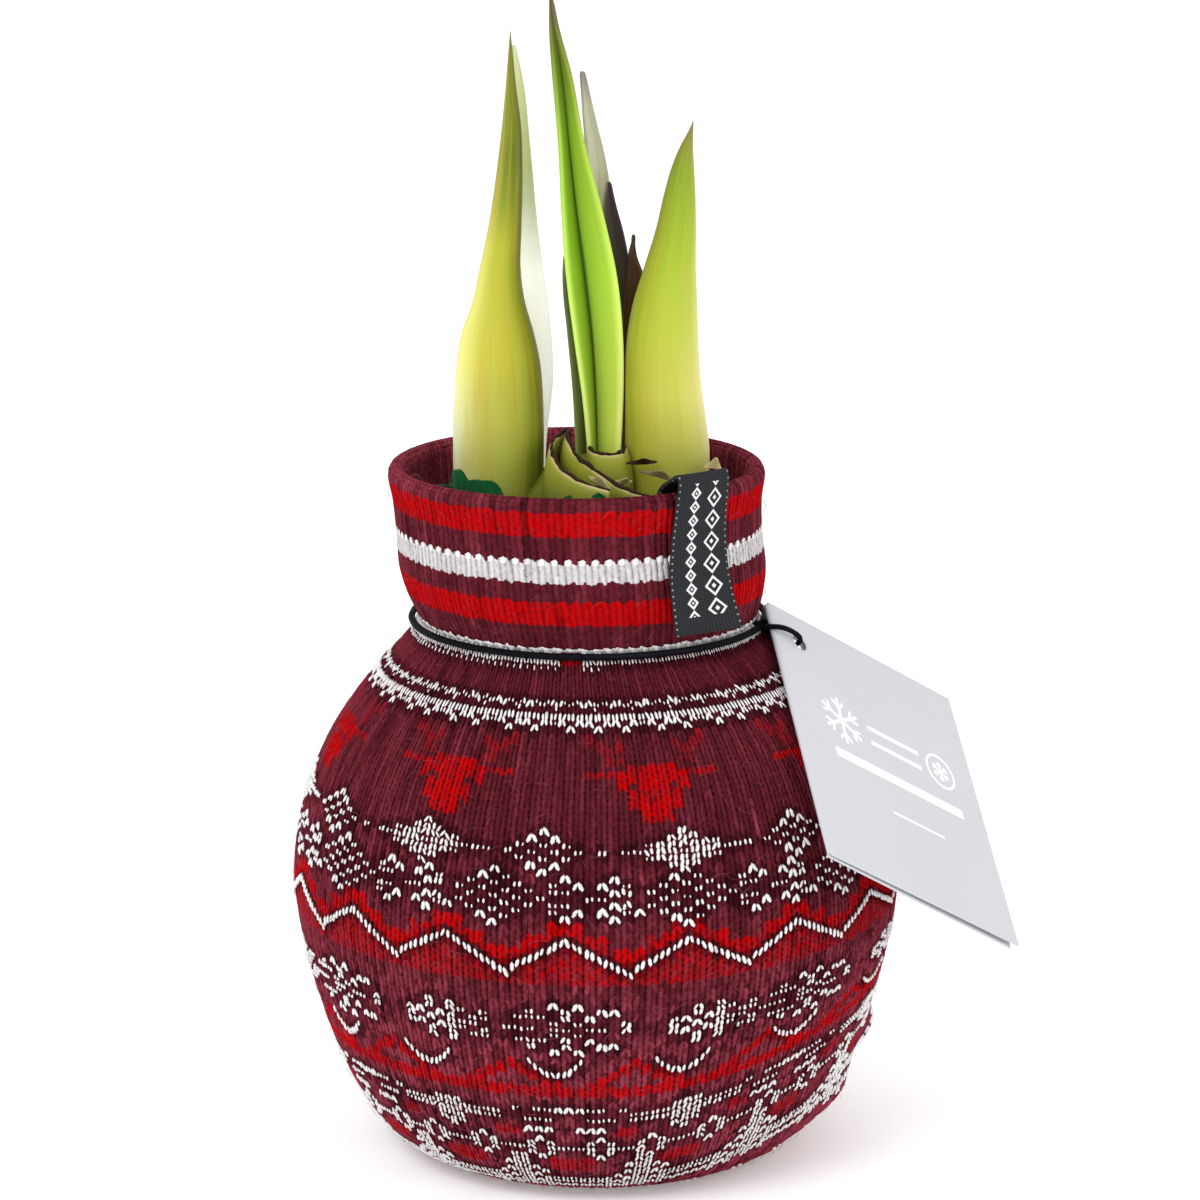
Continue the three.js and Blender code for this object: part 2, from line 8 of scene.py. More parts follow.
import bmesh
import bpy
import numpy as np
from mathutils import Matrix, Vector


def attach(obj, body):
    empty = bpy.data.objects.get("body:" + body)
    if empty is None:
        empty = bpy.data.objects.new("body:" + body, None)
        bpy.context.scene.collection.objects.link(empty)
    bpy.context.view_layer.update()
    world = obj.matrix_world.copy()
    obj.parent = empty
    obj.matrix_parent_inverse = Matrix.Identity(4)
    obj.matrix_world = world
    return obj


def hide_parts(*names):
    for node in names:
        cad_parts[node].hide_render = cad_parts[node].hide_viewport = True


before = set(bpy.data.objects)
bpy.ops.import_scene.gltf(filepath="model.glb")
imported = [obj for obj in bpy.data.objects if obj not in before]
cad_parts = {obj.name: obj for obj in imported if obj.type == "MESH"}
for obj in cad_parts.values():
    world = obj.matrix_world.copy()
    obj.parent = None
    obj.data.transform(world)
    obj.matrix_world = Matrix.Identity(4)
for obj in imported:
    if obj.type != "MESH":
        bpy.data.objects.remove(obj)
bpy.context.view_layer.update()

# ---- Camera, floor and light ----
# The eye is 0.7 m away and looks down a little, as at something on a table. The floor is pale paper,
# and the light comes from a bright room with one large soft lamp high on the left.

scene = bpy.context.scene
scene.view_settings.view_transform = "Standard"

EYE_DISTANCE = 0.7
EYE_FALL = math.radians(13.2)       # how far the eye looks down
VIEW_ANGLE = math.radians(15.42)
AIM = Vector((0.0006, 0, 0.0884))


def object_of(name, data):
    """A new object in the scene."""
    made = bpy.data.objects.new(name, data)
    scene.collection.objects.link(made)
    return made


def piece_of(name, bm):
    """A finished bmesh as an object in the scene."""
    mesh = bpy.data.meshes.new(name)
    bm.to_mesh(mesh)
    bm.free()
    return object_of(name, mesh)


camera = object_of("camera", bpy.data.cameras.new("camera"))
camera.data.angle = VIEW_ANGLE
camera.location = AIM + EYE_DISTANCE * Vector((0, -math.cos(EYE_FALL), math.sin(EYE_FALL)))
camera.rotation_euler = (math.pi / 2 - EYE_FALL, 0, 0)
scene.camera = camera

scene.world = bpy.data.worlds.new("room")
scene.world.use_nodes = True
background = scene.world.node_tree.nodes["Background"]
background.inputs["Color"].default_value = (1, 1, 1, 1)
background.inputs["Strength"].default_value = 1.0


def lamp(name, place, size, power):
    """A square soft lamp that faces the middle of the object."""
    light = object_of(name, bpy.data.lights.new(name, "AREA"))
    light.data.size = size
    light.data.energy = power
    light.location = place
    light.rotation_euler = (Vector((0, 0, 0.08)) - Vector(place)).to_track_quat("-Z", "Y").to_euler()


lamp("lamp_left", (-0.55, -0.75, 0.85), 0.6, 5)
lamp("lamp_right", (0.8, -0.5, 0.5), 0.6, 1.5)

bm = bmesh.new()
bmesh.ops.create_grid(bm, x_segments=1, y_segments=1, size=8)
floor = piece_of("floor", bm)
paper = bpy.data.materials.new("floor_paper")
paper.use_nodes = True
for socket, value in (
    ("Base Color", (0.97, 0.97, 0.97, 1)), ("Roughness", 0.9),
    ("Emission Color", (1, 1, 1, 1)), ("Emission Strength", 0.22),
):
    paper.node_tree.nodes["Principled BSDF"].inputs[socket].default_value = value
floor.data.materials.append(paper)

# ---- The sleeve's knit ----
# One tube of cotton jacquard: it starts inside the collar, turns over the rim, is drawn in by the
# elastic, and runs down over the bulb to a toe that is gathered low on the right.

MM = 0.001
LEAN = -3.1 * MM            # of the collar, to the left
LEAN_FROM = 68 * MM         # the height at which the neck begins to lean, and over how much it does so
LEAN_SPAN = 42 * MM


def eased(value, start, span):
    """A soft step from 0 to 1, which begins at start and takes a span."""
    t = np.clip((value - start) / span, 0, 1)
    return t * t * (3 - 2 * t)


def lean(z):
    """How far the neck and the collar lean over at a height."""
    return LEAN * eased(z, LEAN_FROM, LEAN_SPAN)


def smooth_line(points, steps=24):
    """A smooth line through a few points in millimetres, as metres. A profile's are [radius, height]."""
    p = np.array([points[0], *points, points[-1]], float) * MM
    t = np.linspace(0, 1, steps, endpoint=False)[:, None]
    parts = []
    for a, b, c, d in zip(p, p[1:], p[2:], p[3:]):
        bend = (2 * a - 5 * b + 4 * c - d) * t ** 2 + (3 * b - a - 3 * c + d) * t ** 3
        parts.append((2 * b + (c - a) * t + bend) / 2)
    return np.vstack([*parts, p[-1:]])


def reach_of(line):
    """The distance of each point of a line from its start, along it."""
    return np.concatenate([[0], np.cumsum(np.linalg.norm(np.diff(line, axis=0), axis=1))])


def read_line(line, reach, at):
    """The columns of a line at some distances along it, where its points are at reach."""
    return [np.interp(at, reach, column) for column in line.T]


def toe_folds(turn, z):
    """How far the spare cloth at the toe stands out, in two soft lumps low on the right."""
    def lump(at, high, across, tall):
        return np.exp(-((turn - at) / across) ** 2 - ((z / MM - high) / tall) ** 2)
    pleats = 0.35 * np.sin(26 * turn + 0.25 * z / MM) * lump(1.5, 8, 0.5, 9)
    return MM * (2.3 * lump(1.62, 17.5, 0.16, 4) + 2.0 * lump(1.30, 10, 0.13, 3.4) + pleats)


def wrap(line, turn, down, lift):
    """Places on the tube: turns from the front, distances down its line, and heights above its face."""
    reach = reach_of(line)
    r, z, dr, dz = read_line(np.column_stack([line, np.gradient(line, reach, axis=0)]), reach, down)
    long = np.hypot(dr, dz)
    z_out = z + lift * dr / long
    r_out = r - lift * dz / long + toe_folds(turn, z) * np.clip(r / (12 * MM), 0, 1)
    x = r_out * np.sin(turn) + lean(z_out)
    return np.column_stack([x, -r_out * np.cos(turn), z_out])


body_line = smooth_line([
    [27.1, 86.6], [28.2, 84.4], [31.4, 80.9], [34.7, 77.6], [38.7, 72.8], [42.6, 66.9], [45.7, 59.7],
    [47.7, 52], [48.4, 43.5], [47, 33.8], [44.5, 24.2], [41.8, 16.5], [38.8, 10.1], [35.2, 4.9],
    [31.5, 1.9], [27, 0.3], [20, 0], [10, 0], [0, 0],
])
collar_line = smooth_line([
    [26.3, 96], [26.4, 103], [26.6, 108.6], [27.1, 110.4], [28.2, 111.1], [29.4, 110.5], [29.9, 108.8],
    [29.3, 105], [29.1, 99.4], [29.2, 94.5], [28.5, 90.6], [27.4, 87.5], [27, 86],
])


def moved(piece, places):
    """Puts every vertex of a piece at its new place."""
    piece.data.vertices.foreach_set("co", np.asarray(places, np.float32).ravel())
    piece.data.update()


def places_of(piece):
    """The place of every vertex of a piece."""
    places = np.zeros(len(piece.data.vertices) * 3, np.float32)
    piece.data.vertices.foreach_get("co", places)
    return places.reshape(-1, 3).astype(float)


def note(piece, name, values):
    """Keeps a number for every vertex, which the materials read."""
    kept = piece.data.attributes.new(name, "FLOAT", "POINT")
    kept.data.foreach_set("value", np.asarray(values, np.float32))


def apply_modifiers(piece):
    """Makes the modifiers' result the piece's own mesh."""
    shaped = piece.evaluated_get(bpy.context.evaluated_depsgraph_get())
    mesh = bpy.data.meshes.new_from_object(shaped)
    piece.modifiers.clear()
    piece.data = mesh
    mesh.name = piece.name


def repeated(piece, label, count, step=(0, 0, 0)):
    """A modifier that sets copies of a piece in a row, each a step further."""
    row = piece.modifiers.new(label, "ARRAY")
    row.count = count
    row.use_relative_offset = False
    row.use_constant_offset = True
    row.constant_offset_displace = step
    return row


def finish_piece(piece, slot, look, *replaced):
    """Gives a piece its material and its place on the body."""
    piece.data.materials.clear()
    piece.data.materials.append(look)
    piece.data.shade_smooth()
    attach(piece, "root")
    if replaced:
        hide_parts(*replaced)


YARN_UV = "OFBake"
GRAIN_SIDES = 4


def one_stitch(name, grains):
    """Grains of yarn by middle, half size and slant, in wales, courses and millimetres."""
    bm = bmesh.new()
    uv = bm.loops.layers.uv.new(YARN_UV)
    mark = bm.verts.layers.int.new("grain")
    for i, (middle, half, slant) in enumerate(grains):
        made = bmesh.ops.create_uvsphere(bm, u_segments=GRAIN_SIDES, v_segments=3, radius=1, calc_uvs=True)
        for vertex in made["verts"]:
            vertex[mark] = i
            x, y, z = vertex.co
            long = z * half[1]
            vertex.co = (middle[0] + x * half[0] + slant * long, middle[1] + long, middle[2] + y * half[2])
        for face in {face for vertex in made["verts"] for face in vertex.link_faces}:
            for loop in face.loops:
                loop[uv].uv.x = (i + loop[uv].uv.x) / len(grains)
    return piece_of(name, bm)


def field(name, grains, wales, courses):
    """A flat field of stitches, one unit apart each way, and the wale, course and grain of each vertex."""
    piece = one_stitch(name, grains)
    each = len(piece.data.vertices)
    for loop in piece.data.uv_layers[YARN_UV].data:
        loop.uv = (loop.uv[0] / wales, loop.uv[1] / courses)
    for label, count, step, offset in (
        ("wales", wales, (1, 0, 0), "offset_u"),
        ("courses", courses, (0, 1, 0), "offset_v"),
    ):
        setattr(repeated(piece, label, count, step), offset, 1 / count)
    apply_modifiers(piece)
    index = np.arange(len(piece.data.vertices))
    stitch = index // each
    grain = np.zeros(len(index), np.int32)
    piece.data.attributes["grain"].data.foreach_get("value", grain)
    return piece, stitch % wales, stitch // wales, grain


# ---- The sleeve's pattern ----
# Bands and motifs from the traditional northern stock: a picot line, reindeer heads, diamonds, split
# lozenges, a zigzag between red bands, snowflakes over smiles, a red wave and a toe line.

WALES = 160
TOE_AT = 1.66               # radians round from the front: the side that the toe is drawn to
TOE_COURSE = 96             # the toe starts here, with half as many wales
LAST_COURSE = 128
TOE_SHIFT = 15 * MM         # the courses ride up by this much at the toe
SHIFT_FROM = 42             # the course at which they begin to, and the courses that it takes
SHIFT_SPAN = 50
COURSE = 1.0 * MM
EVEN_COURSES = 92           # courses of full height: those after it share out what is left
BODY_LENGTH = 121 * MM      # from the elastic down to the last course


def motifs(wale, count, first):
    """The distance in wales to the nearest of some motifs round the sleeve, and that motif's number."""
    start = math.radians(first) / (2 * math.pi) * WALES
    number = np.round((wale - start) / (WALES / count))
    middle = np.round(start + number * WALES / count)
    return wale - middle, number % count


def within(value, low, high):
    """Where a value lies between two others, with them."""
    return (value >= low) & (value <= high)


ZIGZAG = 16, -6.7           # how often a motif comes round, and where one stands, in degrees
FLAKES = 14, -7.6

BOLD = 1.0                  # a full leg of off-white yarn
PACKED = 0.9                # a full leg with another above or below it, which squeezes it
LINE = 0.8                  # a leg of a drawn line, which stands out like a cord
SMALL = 0.6                 # a leg that the ground closes over, so that only a dot of it shows
PLAIN = 0.5                 # a leg of a plain off-white band
TOOTH = 0.4                 # a short round end of yarn along a band's edge
LEG_SHAPES = {              # width, length, rise and inward lean of each kind, against a leg of the ground
    BOLD: (0.72, 0.62, 0.27, 0.10), PACKED: (0.57, 0.51, 0.25, 0.0), LINE: (0.60, 0.66, 0.36, -0.10),
    SMALL: (0.40, 0.35, 0.22, -0.11), PLAIN: (1, 1, 0.02, 0), TOOTH: (1.1, 0.6, 0.1, 0),
}


def chequered(x, y):
    """Every other stitch, as on a chessboard."""
    return (x + y) % 2 == 0


def open_diamond(x, y):
    """A small diamond: bold above and below, and dots in its middle and beside it."""
    ax, ay = abs(x), abs(y)
    small = ~chequered(x, y) & (ay <= 1) & (ax <= 3) | (y == 0) & (ax == 5)
    return (ax <= 1) & (ax + ay == 3), small


def dense_diamond(x, y):
    """A small diamond, filled with stitches."""
    ax, ay = abs(x), abs(y)
    full = (ax + ay <= 4) & (ay <= 3) & ((ax + ay) % 2 == 1) | (ax + ay == 2)
    return full, (ax + ay <= 1) | (y == 0) & within(ax, 4, 5) | (ax == 3) & (ay == 1)


def lattice(x, y):
    """A lozenge of a chessboard of dots, bolder at two of its corners."""
    far = abs(x) + abs(y)
    return (far == 4) & (abs(y) >= 3) & (x <= 0), chequered(x, y) & (far <= 4)


def brackets(x, y):
    """Two brackets back to back, the right one bolder."""
    ax, ay = abs(x), abs(y)
    full = (ax == 1) & (ay == 2) | (ax == 2) & (ay == 3) | (ax == 4) & (y == 2)
    full |= within(x, 2, 3) & (ay == 1)
    return full, within(ax, 2, 3) & (ay == 1) | (ax <= 1) & (y == 0) & (x > -1) | (ax == 3) & (ay == 2)


def dense_flake(x, y):
    """A closed snowflake: a tall middle stroke and a bold left side. Its right side is dotted."""
    ax, ay = abs(x), abs(y)
    full = (x == 0) & (ay <= 3) | within(x, -3, -1) & (ay <= 2) & chequered(x, y)
    full |= (x == -4) & (ay <= 1) | (x == -2) & (ay == 3)
    return full, within(x, 1, 4) & (ay <= 2) & ((x + y) % 3 != 0) | (x == 5) & (y == 0)


def open_flake(x, y):
    """An open snowflake: a ring of dots with strokes over and under it, and forked arms."""
    ax, ay = abs(x), abs(y)
    full = (ax == 1) & (ay == 4) | (x == 0) & within(ay, 2, 3)
    full |= within(x, 3, 4) & (ay == 3) | (x == 2) & (ay == 2)
    full |= (x == 5) & within(y, -1, 0) | (x == -3) & (y == 3)
    small = (ax == 1) & (ay == 1) | (y == 0) & (ax <= 4) & (x % 3 != 1)
    return full, small | within(x, -4, -2) & (ay == 2) | (x == -5) & (y == 0) | (x == -3) & (y == -3)


def winged_block(x, y):
    """A block of stitches with a dotted wing on each side."""
    ax = abs(x)
    full = (ax <= 1) & (abs(y) <= 2) | (x == 0) & (y == 3) | (ax <= 3) & (y == 0)
    return full, (ax <= 5) & within(y, -1, 0)


def dashes(x, y):
    """Three short broken rows over each other."""
    ax = abs(x)
    full = (y == -2) & (ax <= 1) | within(x, -4, -2) & (y == 2) | within(x, 1, 3) & (y == 2)
    return full, (y == -2) & within(ax, 2, 5) & (ax != 4) | (y == 0) & within(ax, 2, 4)


def fir(x, y):
    """The tall top of a big star: two long bars among scattered stitches."""
    full = within(x, 0, 1) & within(y, -4, 5)
    return full | ~chequered(x, y) & (abs(x - 0.5) <= 0.55 * (y + 5)) & (abs(x) <= 4), False


def white_yarn(wale, course, leg):
    """The kind of each leg of off-white yarn, and how the legs of a drawn line are shifted and tilted."""
    white, shift, tilt = np.zeros((3, *wale.shape))

    def knit(full, small=False, seen=True):
        white[small & seen & (white == 0)] = SMALL
        white[full & seen] = BOLD

    def draw(line, side, seen=True):
        on = (course == np.round(line)) & seen
        white[on] = LINE
        shift[on] = (line - course)[on]
        tilt[on] = 0.1 * np.sign(side[on])

    # The line under the elastic, and the picot band.
    half = 0.5 * leg - 0.25
    left = (wale < 2) & ~within(wale, -4, -2)
    knit((course <= 1) & left, (course <= 1) & (wale >= 2) | (course == 2) & (leg == 0) & left)
    side = 2 * wale + leg
    knit((course == 8) & (side % 7 > 3), (course == 8) | (course == 9) & (side % 9 == 0))
    x, _ = motifs(wale, 46, 0)
    knit((course == 12) & (abs(x) == 1) | (course == 13) & (x == 0), (course == 12) & (abs(x) == 2))
    white[course == 10] = LINE
    shift[course == 8] = 0.3 * np.sin(1.9 * side[course == 8]) + 0.1
    shift[course == 10] = 0.5
    shift[within(course, 12, 13)] = -0.5

    # Diamonds, lozenges and the zigzag.
    x, number = motifs(wale, 14, -10.6)
    knit(*open_diamond(x, course - 32), number % 2 == 0)
    knit(*dense_diamond(x, course - 32), number % 2 == 1)
    x, number = motifs(wale, 20, -1.6)
    knit(*brackets(x, course - 39), number % 2 == 0)
    knit(*lattice(x, course - 39), number % 2 == 1)
    x, _ = motifs(wale, *ZIGZAG)
    draw(45.4 + abs(x + half), x + half)

    # Snowflakes over smiles, the toe's rows, and its line.
    x, number = motifs(wale, *FLAKES)
    knit(*open_flake(x, course - 60), number % 2 == 0)
    knit(*dense_flake(x - 2, course - 60), number % 2 == 1)
    beside = x + 1 + half
    draw(68.3 - 0.5 * beside ** 2, -beside, abs(beside) < 2.5)
    knit(*dashes(x, course - 77), number % 2 == 0)
    knit(*winged_block(x, course - 77), number % 2 == 1)
    x, _ = motifs(wale, 28, -1)
    y = course - 83
    knit((abs(x) + abs(y) == 2) & (abs(y) > 0) | (y == 0) & (abs(x) == 1), (y == 0) & (x != 0))
    x, _ = motifs(wale, 13, 7.9)
    knit(*fir(x, course - 89))
    knit((course == 94) | (course == 92) & (abs(x) >= 3), (course == 91) & (abs(x) >= 4))
    return white, shift, tilt


def red_yarn(wale, course):
    """How much red yarn shows in each leg."""
    x, _ = motifs(wale, 8, 10.4)
    y = course - 19
    ax = abs(x)
    head = (y >= 0 + (ax > 2) + (ax > 3)) & (y <= 8) & (ax <= 4.6 - 0.40 * y) & ~((y == 3) & (ax == 2))
    ears = (y == 1) & within(ax, 4, 6)
    antlers = within(y, -5, -1) & (abs(ax - (2.6 - 0.7 * y)) < 0.9) | within(y, -4, -3) & (ax == 3)

    x, _ = motifs(wale, *ZIGZAG)
    line = 45 + abs(x)
    over = within(line - course, 1, 2) | (course == line - 3) & (wale % 2 == 0)
    under = (course >= line + 1) & (course <= 52)

    x, _ = motifs(wale, 14, 7.1)
    wave = np.round(68.6 - 2.3 * np.cos(x / 5.7 * math.pi))
    band = (course == wave) | (course == wave + 1) | within(course, 71, 72)
    x, _ = motifs(wale, *FLAKES)
    patches = (abs(x) <= 2) & within(course, 86, 88) | (abs(abs(x) - 6) <= 1) & within(course, 79, 80)
    dash = (course == 1) & within(wale, -4, -2)
    full = head | over | band | dash
    worn = under & chequered(wale, course) | ears | patches
    return np.select([full, worn, under, antlers], [1.0, 0.75, 0.5, 0.35], 0.0)


def course_place(turn, course):
    """Distance of a course down the sleeve: all courses ride up towards the toe."""
    side = np.clip(np.cos(turn - TOE_AT), 0, 1) ** 1.5
    risen = TOE_SHIFT * side * eased(course, SHIFT_FROM, SHIFT_SPAN)
    place = np.minimum(course, EVEN_COURSES) * COURSE - risen
    rest = np.clip((course - EVEN_COURSES) / (LAST_COURSE - EVEN_COURSES), 0, 1)
    return place + rest * (BODY_LENGTH - place)


# ---- The sleeve's yarn ----
# Combed cotton, about 0.6 mm thick. The ground is maroon, a little paler and pinker in painted sheen and
# painted light where its fuzzy yarn would catch the light, and the red and the off-white are carried along
# inside where they don't show.

def group(name, inputs, outputs):
    """An empty shader node group with named sockets, and its two end nodes."""
    tree = bpy.data.node_groups.new(name, "ShaderNodeTree")
    for label, kind, value in inputs:
        socket = tree.interface.new_socket(label, in_out="INPUT", socket_type="NodeSocket" + kind)
        if value is not None:
            socket.default_value = value
    for label, kind in outputs:
        tree.interface.new_socket(label, in_out="OUTPUT", socket_type="NodeSocket" + kind)
    return tree, tree.nodes.new("NodeGroupInput"), tree.nodes.new("NodeGroupOutput")


def node(tree, kind, settings=None, **values):
    """A shader node with its settings and its input values, which may be links from other sockets."""
    made = tree.nodes.new("ShaderNode" + kind)
    for key, value in (settings or {}).items():
        setattr(made, key, value)
    for key, value in values.items():
        socket = made.inputs[int(key[1:])] if key[0] == "i" and key[1:].isdigit() else made.inputs[key]
        if isinstance(value, bpy.types.NodeSocket):
            tree.links.new(value, socket)
        else:
            socket.default_value = value
    return made


def mix(tree, factor, a, b, blend="MIX"):
    """Two colours mixed by a factor."""
    return node(tree, "Mix", {"data_type": "RGBA", "blend_type": blend}, i0=factor, i6=a, i7=b).outputs[2]


def math_node(tree, operation, a, b=0.5, clamp=False):
    """The result of a sum or a comparison of two values."""
    return node(tree, "Math", {"operation": operation, "use_clamp": clamp}, i0=a, i1=b).outputs[0]


def attribute(tree, name):
    """A number that a piece keeps for every vertex."""
    return node(tree, "Attribute", {"attribute_name": name}).outputs["Fac"]


def material(name, roughness, sheen=0.0, sheen_tint=(1, 1, 1, 1), subsurface=0.0, gloss=0.3):
    """A Principled material, with its node tree and shader."""
    made = bpy.data.materials.new(name)
    made.use_nodes = True
    tree = made.node_tree
    shader = tree.nodes["Principled BSDF"]
    shader.inputs["Roughness"].default_value = roughness
    shader.inputs["Sheen Weight"].default_value = sheen
    shader.inputs["Sheen Roughness"].default_value = 0.5
    shader.inputs["Sheen Tint"].default_value = sheen_tint
    shader.inputs["Specular IOR Level"].default_value = gloss
    shader.inputs["Subsurface Weight"].default_value = subsurface
    shader.inputs["Subsurface Scale"].default_value = 2 * MM
    return made, tree, shader


def surface(tree, shader, colour, height, distance):
    """Feeds a colour to the shader, and a height to its normal."""
    tree.links.new(colour, shader.inputs["Base Color"])
    bump = node(tree, "Bump", Height=height, Distance=distance, Strength=1.0)
    tree.links.new(bump.outputs["Normal"], shader.inputs["Normal"])


yarn_fuzz, inside, outside = group(
    "yarn_fuzz",
    [("Color", "Color", None), ("Fuzz", "Float", 0.3), ("Scale", "Float", 900.0)],
    [("Color", "Color"), ("Height", "Float")],
)
where = node(yarn_fuzz, "TexCoord").outputs["Object"]
plies = node(yarn_fuzz, "TexNoise", Vector=where, Scale=inside.outputs["Scale"], Detail=3.0)
patches = node(yarn_fuzz, "TexNoise", Vector=where, Scale=60.0, Detail=4.0)
lint = math_node(yarn_fuzz, "MULTIPLY", patches.outputs["Fac"], inside.outputs["Fuzz"])
lighter = mix(yarn_fuzz, lint, inside.outputs["Color"], (0.55, 0.30, 0.36, 1))
darker = mix(yarn_fuzz, 0.6, lighter, plies.outputs["Fac"], "SOFT_LIGHT")
yarn_fuzz.links.new(darker, outside.inputs["Color"])
yarn_fuzz.links.new(plies.outputs["Fac"], outside.inputs["Height"])

DEEP_SHADE = (0.016, 0.002, 0.004, 1)
MAROON = (0.092, 0.0100, 0.0165, 1)
PINK = (0.30, 0.044, 0.070, 1)
RED = (0.475, 0.0005, 0.0005, 1)
OFF_WHITE = (0.83, 0.80, 0.805, 1)


def cloth_colour(tree, white, red):
    """The colour of the yarn where some white or red shows."""
    return mix(tree, white, mix(tree, red, MAROON, RED), OFF_WHITE)


knit_yarn, tree, shader = material("knit_yarn", 0.9, 0.008, (1.0, 0.5, 0.6, 1), gloss=0.0)
coloured = cloth_colour(tree, attribute(tree, "white"), attribute(tree, "red"))
# Pinker and paler by the fuzzy yarn, and by painted sheen, a painted highlight and painted light from below.
coloured = mix(tree, attribute(tree, "pink_fuzz_and_painted_light"), coloured, PINK)
shaded = mix(tree, attribute(tree, "shade"), coloured, DEEP_SHADE)
fuzzy = node(tree, "Group", {"node_tree": yarn_fuzz}, Color=shaded, Fuzz=0.006, Scale=1500.0)
surface(tree, shader, *fuzzy.outputs, 0.12 * MM)

YARN_DEPTH = -0.38 * MM     # the middle of a stitch, under the sleeve's outline
FULL_PITCH = 1.9 * MM       # the width of a wale at which its stitches stand out in full
RED_LENGTH = 0.84           # of a red leg, against one of the ground
STREAK = 6                  # courses over which the shade of a column of legs drifts
LEG_ACROSS = np.array([0.27, 0.73])     # the middles of a stitch's two legs in its wale
LEG_DOWN = 0.55
random = np.random.default_rng(11)


def two_legs(half, slant):
    """A stitch's legs, which lean together at its top: the sleeve was knitted from its collar down."""
    return [((across, LEG_DOWN, 0.0), half, way * slant) for across, way in zip(LEG_ACROSS, (-1, 1))]


def lay_yarn(piece, line, wale, course, leg, wales, down_of, pattern, relief=1.0):
    """Lays a flat field of stitches on the tube, each a little uneven, and colours its yarn."""
    flat = places_of(piece)
    column = 2 * wale + leg
    number = column + 2 * wales * course
    uneven = random.normal(0, 1, (4, number.max() + 1))[:, number]
    white, red, shift, tilt, shadow = pattern
    wide, long, rise, inward = (
        np.select([white == kind for kind in LEG_SHAPES], sizes, default)
        for sizes, default in zip(zip(*LEG_SHAPES.values()), (1, 1, 0, 0))
    )
    long = long * np.where((white == 0) & (red > 0.4), RED_LENGTH, 1)

    # No two legs are of one size, straight, or quite in their place, and the off-white ones least of all.
    rough = np.select([white == SMALL, white > PLAIN], [0.16, 0.08], 0)
    ragged = np.clip(1 + 0.05 * uneven[0] + rough * uneven[3], 0.55, 1.4)
    middle = np.column_stack([wale + LEG_ACROSS[leg], course + LEG_DOWN])
    beside, beyond = (flat[:, :2] - middle).T * (wide * ragged, long * ragged)
    crooked = np.select([white == PACKED, white > PLAIN], [0.16, 0.07], 0) * uneven[2]
    slant = tilt + crooked + inward * (2 * leg - 1)
    across = middle[:, 0] + beside + 0.02 * uneven[1] + slant * beyond
    down = middle[:, 1] + shift + beyond + 0.06 * (relief + (white == PACKED)) * uneven[1]

    # Where the wales are crowded, the stitches are flatter.
    turn = across / wales * 2 * math.pi
    place = down_of(turn, down)
    radius = np.interp(place, np.linspace(0, reach_of(line)[-1], len(line)), line[:, 0])
    crowded = np.clip(radius * 2 * math.pi / wales / FULL_PITCH, 0.3, 1)
    raised = flat[:, 2] * relief + relief * (rise + 0.03 * uneven[3])
    laid = wrap(line, turn, place, YARN_DEPTH + raised * crowded * MM)
    moved(piece, laid)

    # Every column has streaks. The ground pales to pink: painted sheen away from the front, paler at the
    # gathers, fuzzy yarn on the rim with a painted highlight on its left, and painted light from below low
    # down.
    knots = random.normal(0, 1, (2 * wales, 24))
    knot, part = course // STREAK, course % STREAK / STREAK
    streak = knots[column, knot] * (1 - part) + knots[column, knot + 1] * part
    height = laid[:, 2] / MM
    aside = np.clip(0.42 * (1 - np.cos(turn)) ** 1.5, 0, 0.42)
    gathers = 0.3 * np.exp(-((turn - 1.4) / 0.5) ** 2) * np.clip((place / MM - 74) / 14, 0, 1)
    rim = np.clip((height - 108) / 3, 0, 1) * (0.14 + 0.4 * np.clip(-np.sin(turn), 0, 1))
    low = 0.52 * np.clip((66 - height) / 45, 0, 1) ** 1.3 * (1 + 0.5 * uneven[1])
    fuzz_and_painted_light = aside + gathers + rim + low + 0.14 * streak + 0.05 * uneven[1]
    # Painted shade darkens the deep parts of every leg; dark streaks deepen a column's own tone, off-white
    # legs take half, and the painted shadow and painted light that the pattern gives are added.
    sunk = np.clip(0.5 - flat[:, 2] / 0.6, 0, 1)
    shade = 0.20 * sunk - 0.16 * np.minimum(streak, 0) + 0.05 * uneven[0]
    note(piece, "white", white > 0)
    note(piece, "red", red * (white == 0) * np.clip(0.84 + 0.3 * relief * uneven[0], 0.3, 1))
    note(piece, "pink_fuzz_and_painted_light", (white == 0) * np.clip(fuzz_and_painted_light, 0, 0.85) * (1 - 0.85 * red))
    note(piece, "shade", np.clip(shade * np.where(white > 0, 0.5, 1) + shadow, 0, 0.85))
    finish_piece(piece, "jacquard_knit", knit_yarn)


# The whole pattern, leg by leg. A leg beside an off-white one is darkened by a painted shadow.
every = np.meshgrid(np.arange(WALES) - WALES // 2, np.arange(TOE_COURSE), np.arange(2), indexing="ij")
white, shift, tilt = white_yarn(*every)
red = red_yarn(*every[:2])
stacked = np.roll(white > 0, 1, axis=1) | np.roll(white > 0, -1, axis=1)
white[(white == BOLD) & stacked] = PACKED
beside = [np.roll(white > 0, step, axis) for axis in (0, 1) for step in (-1, 1)]
shadow = 0.5 * np.any(beside, axis=0) * (white == 0)
whole_pattern = np.roll(np.stack([white, red, shift, tilt, shadow]), WALES // 2, axis=1)

LEGS = two_legs((0.29, 1.12, 0.29), 0.09)
STRIP = 32                  # courses in each of the body's pieces


def further(piece, course, first):
    """Moves a field of stitches down to its first course."""
    moved(piece, places_of(piece) + [0, first, 0])
    return course + first


for number in range(TOE_COURSE // STRIP):
    piece, wale, course, leg = field(f"sleeve_stitches_{number + 1}", LEGS, WALES, STRIP)
    course = further(piece, course, number * STRIP)
    lay_yarn(piece, body_line, wale, course, leg, WALES, course_place, whole_pattern[:, wale, course, leg])

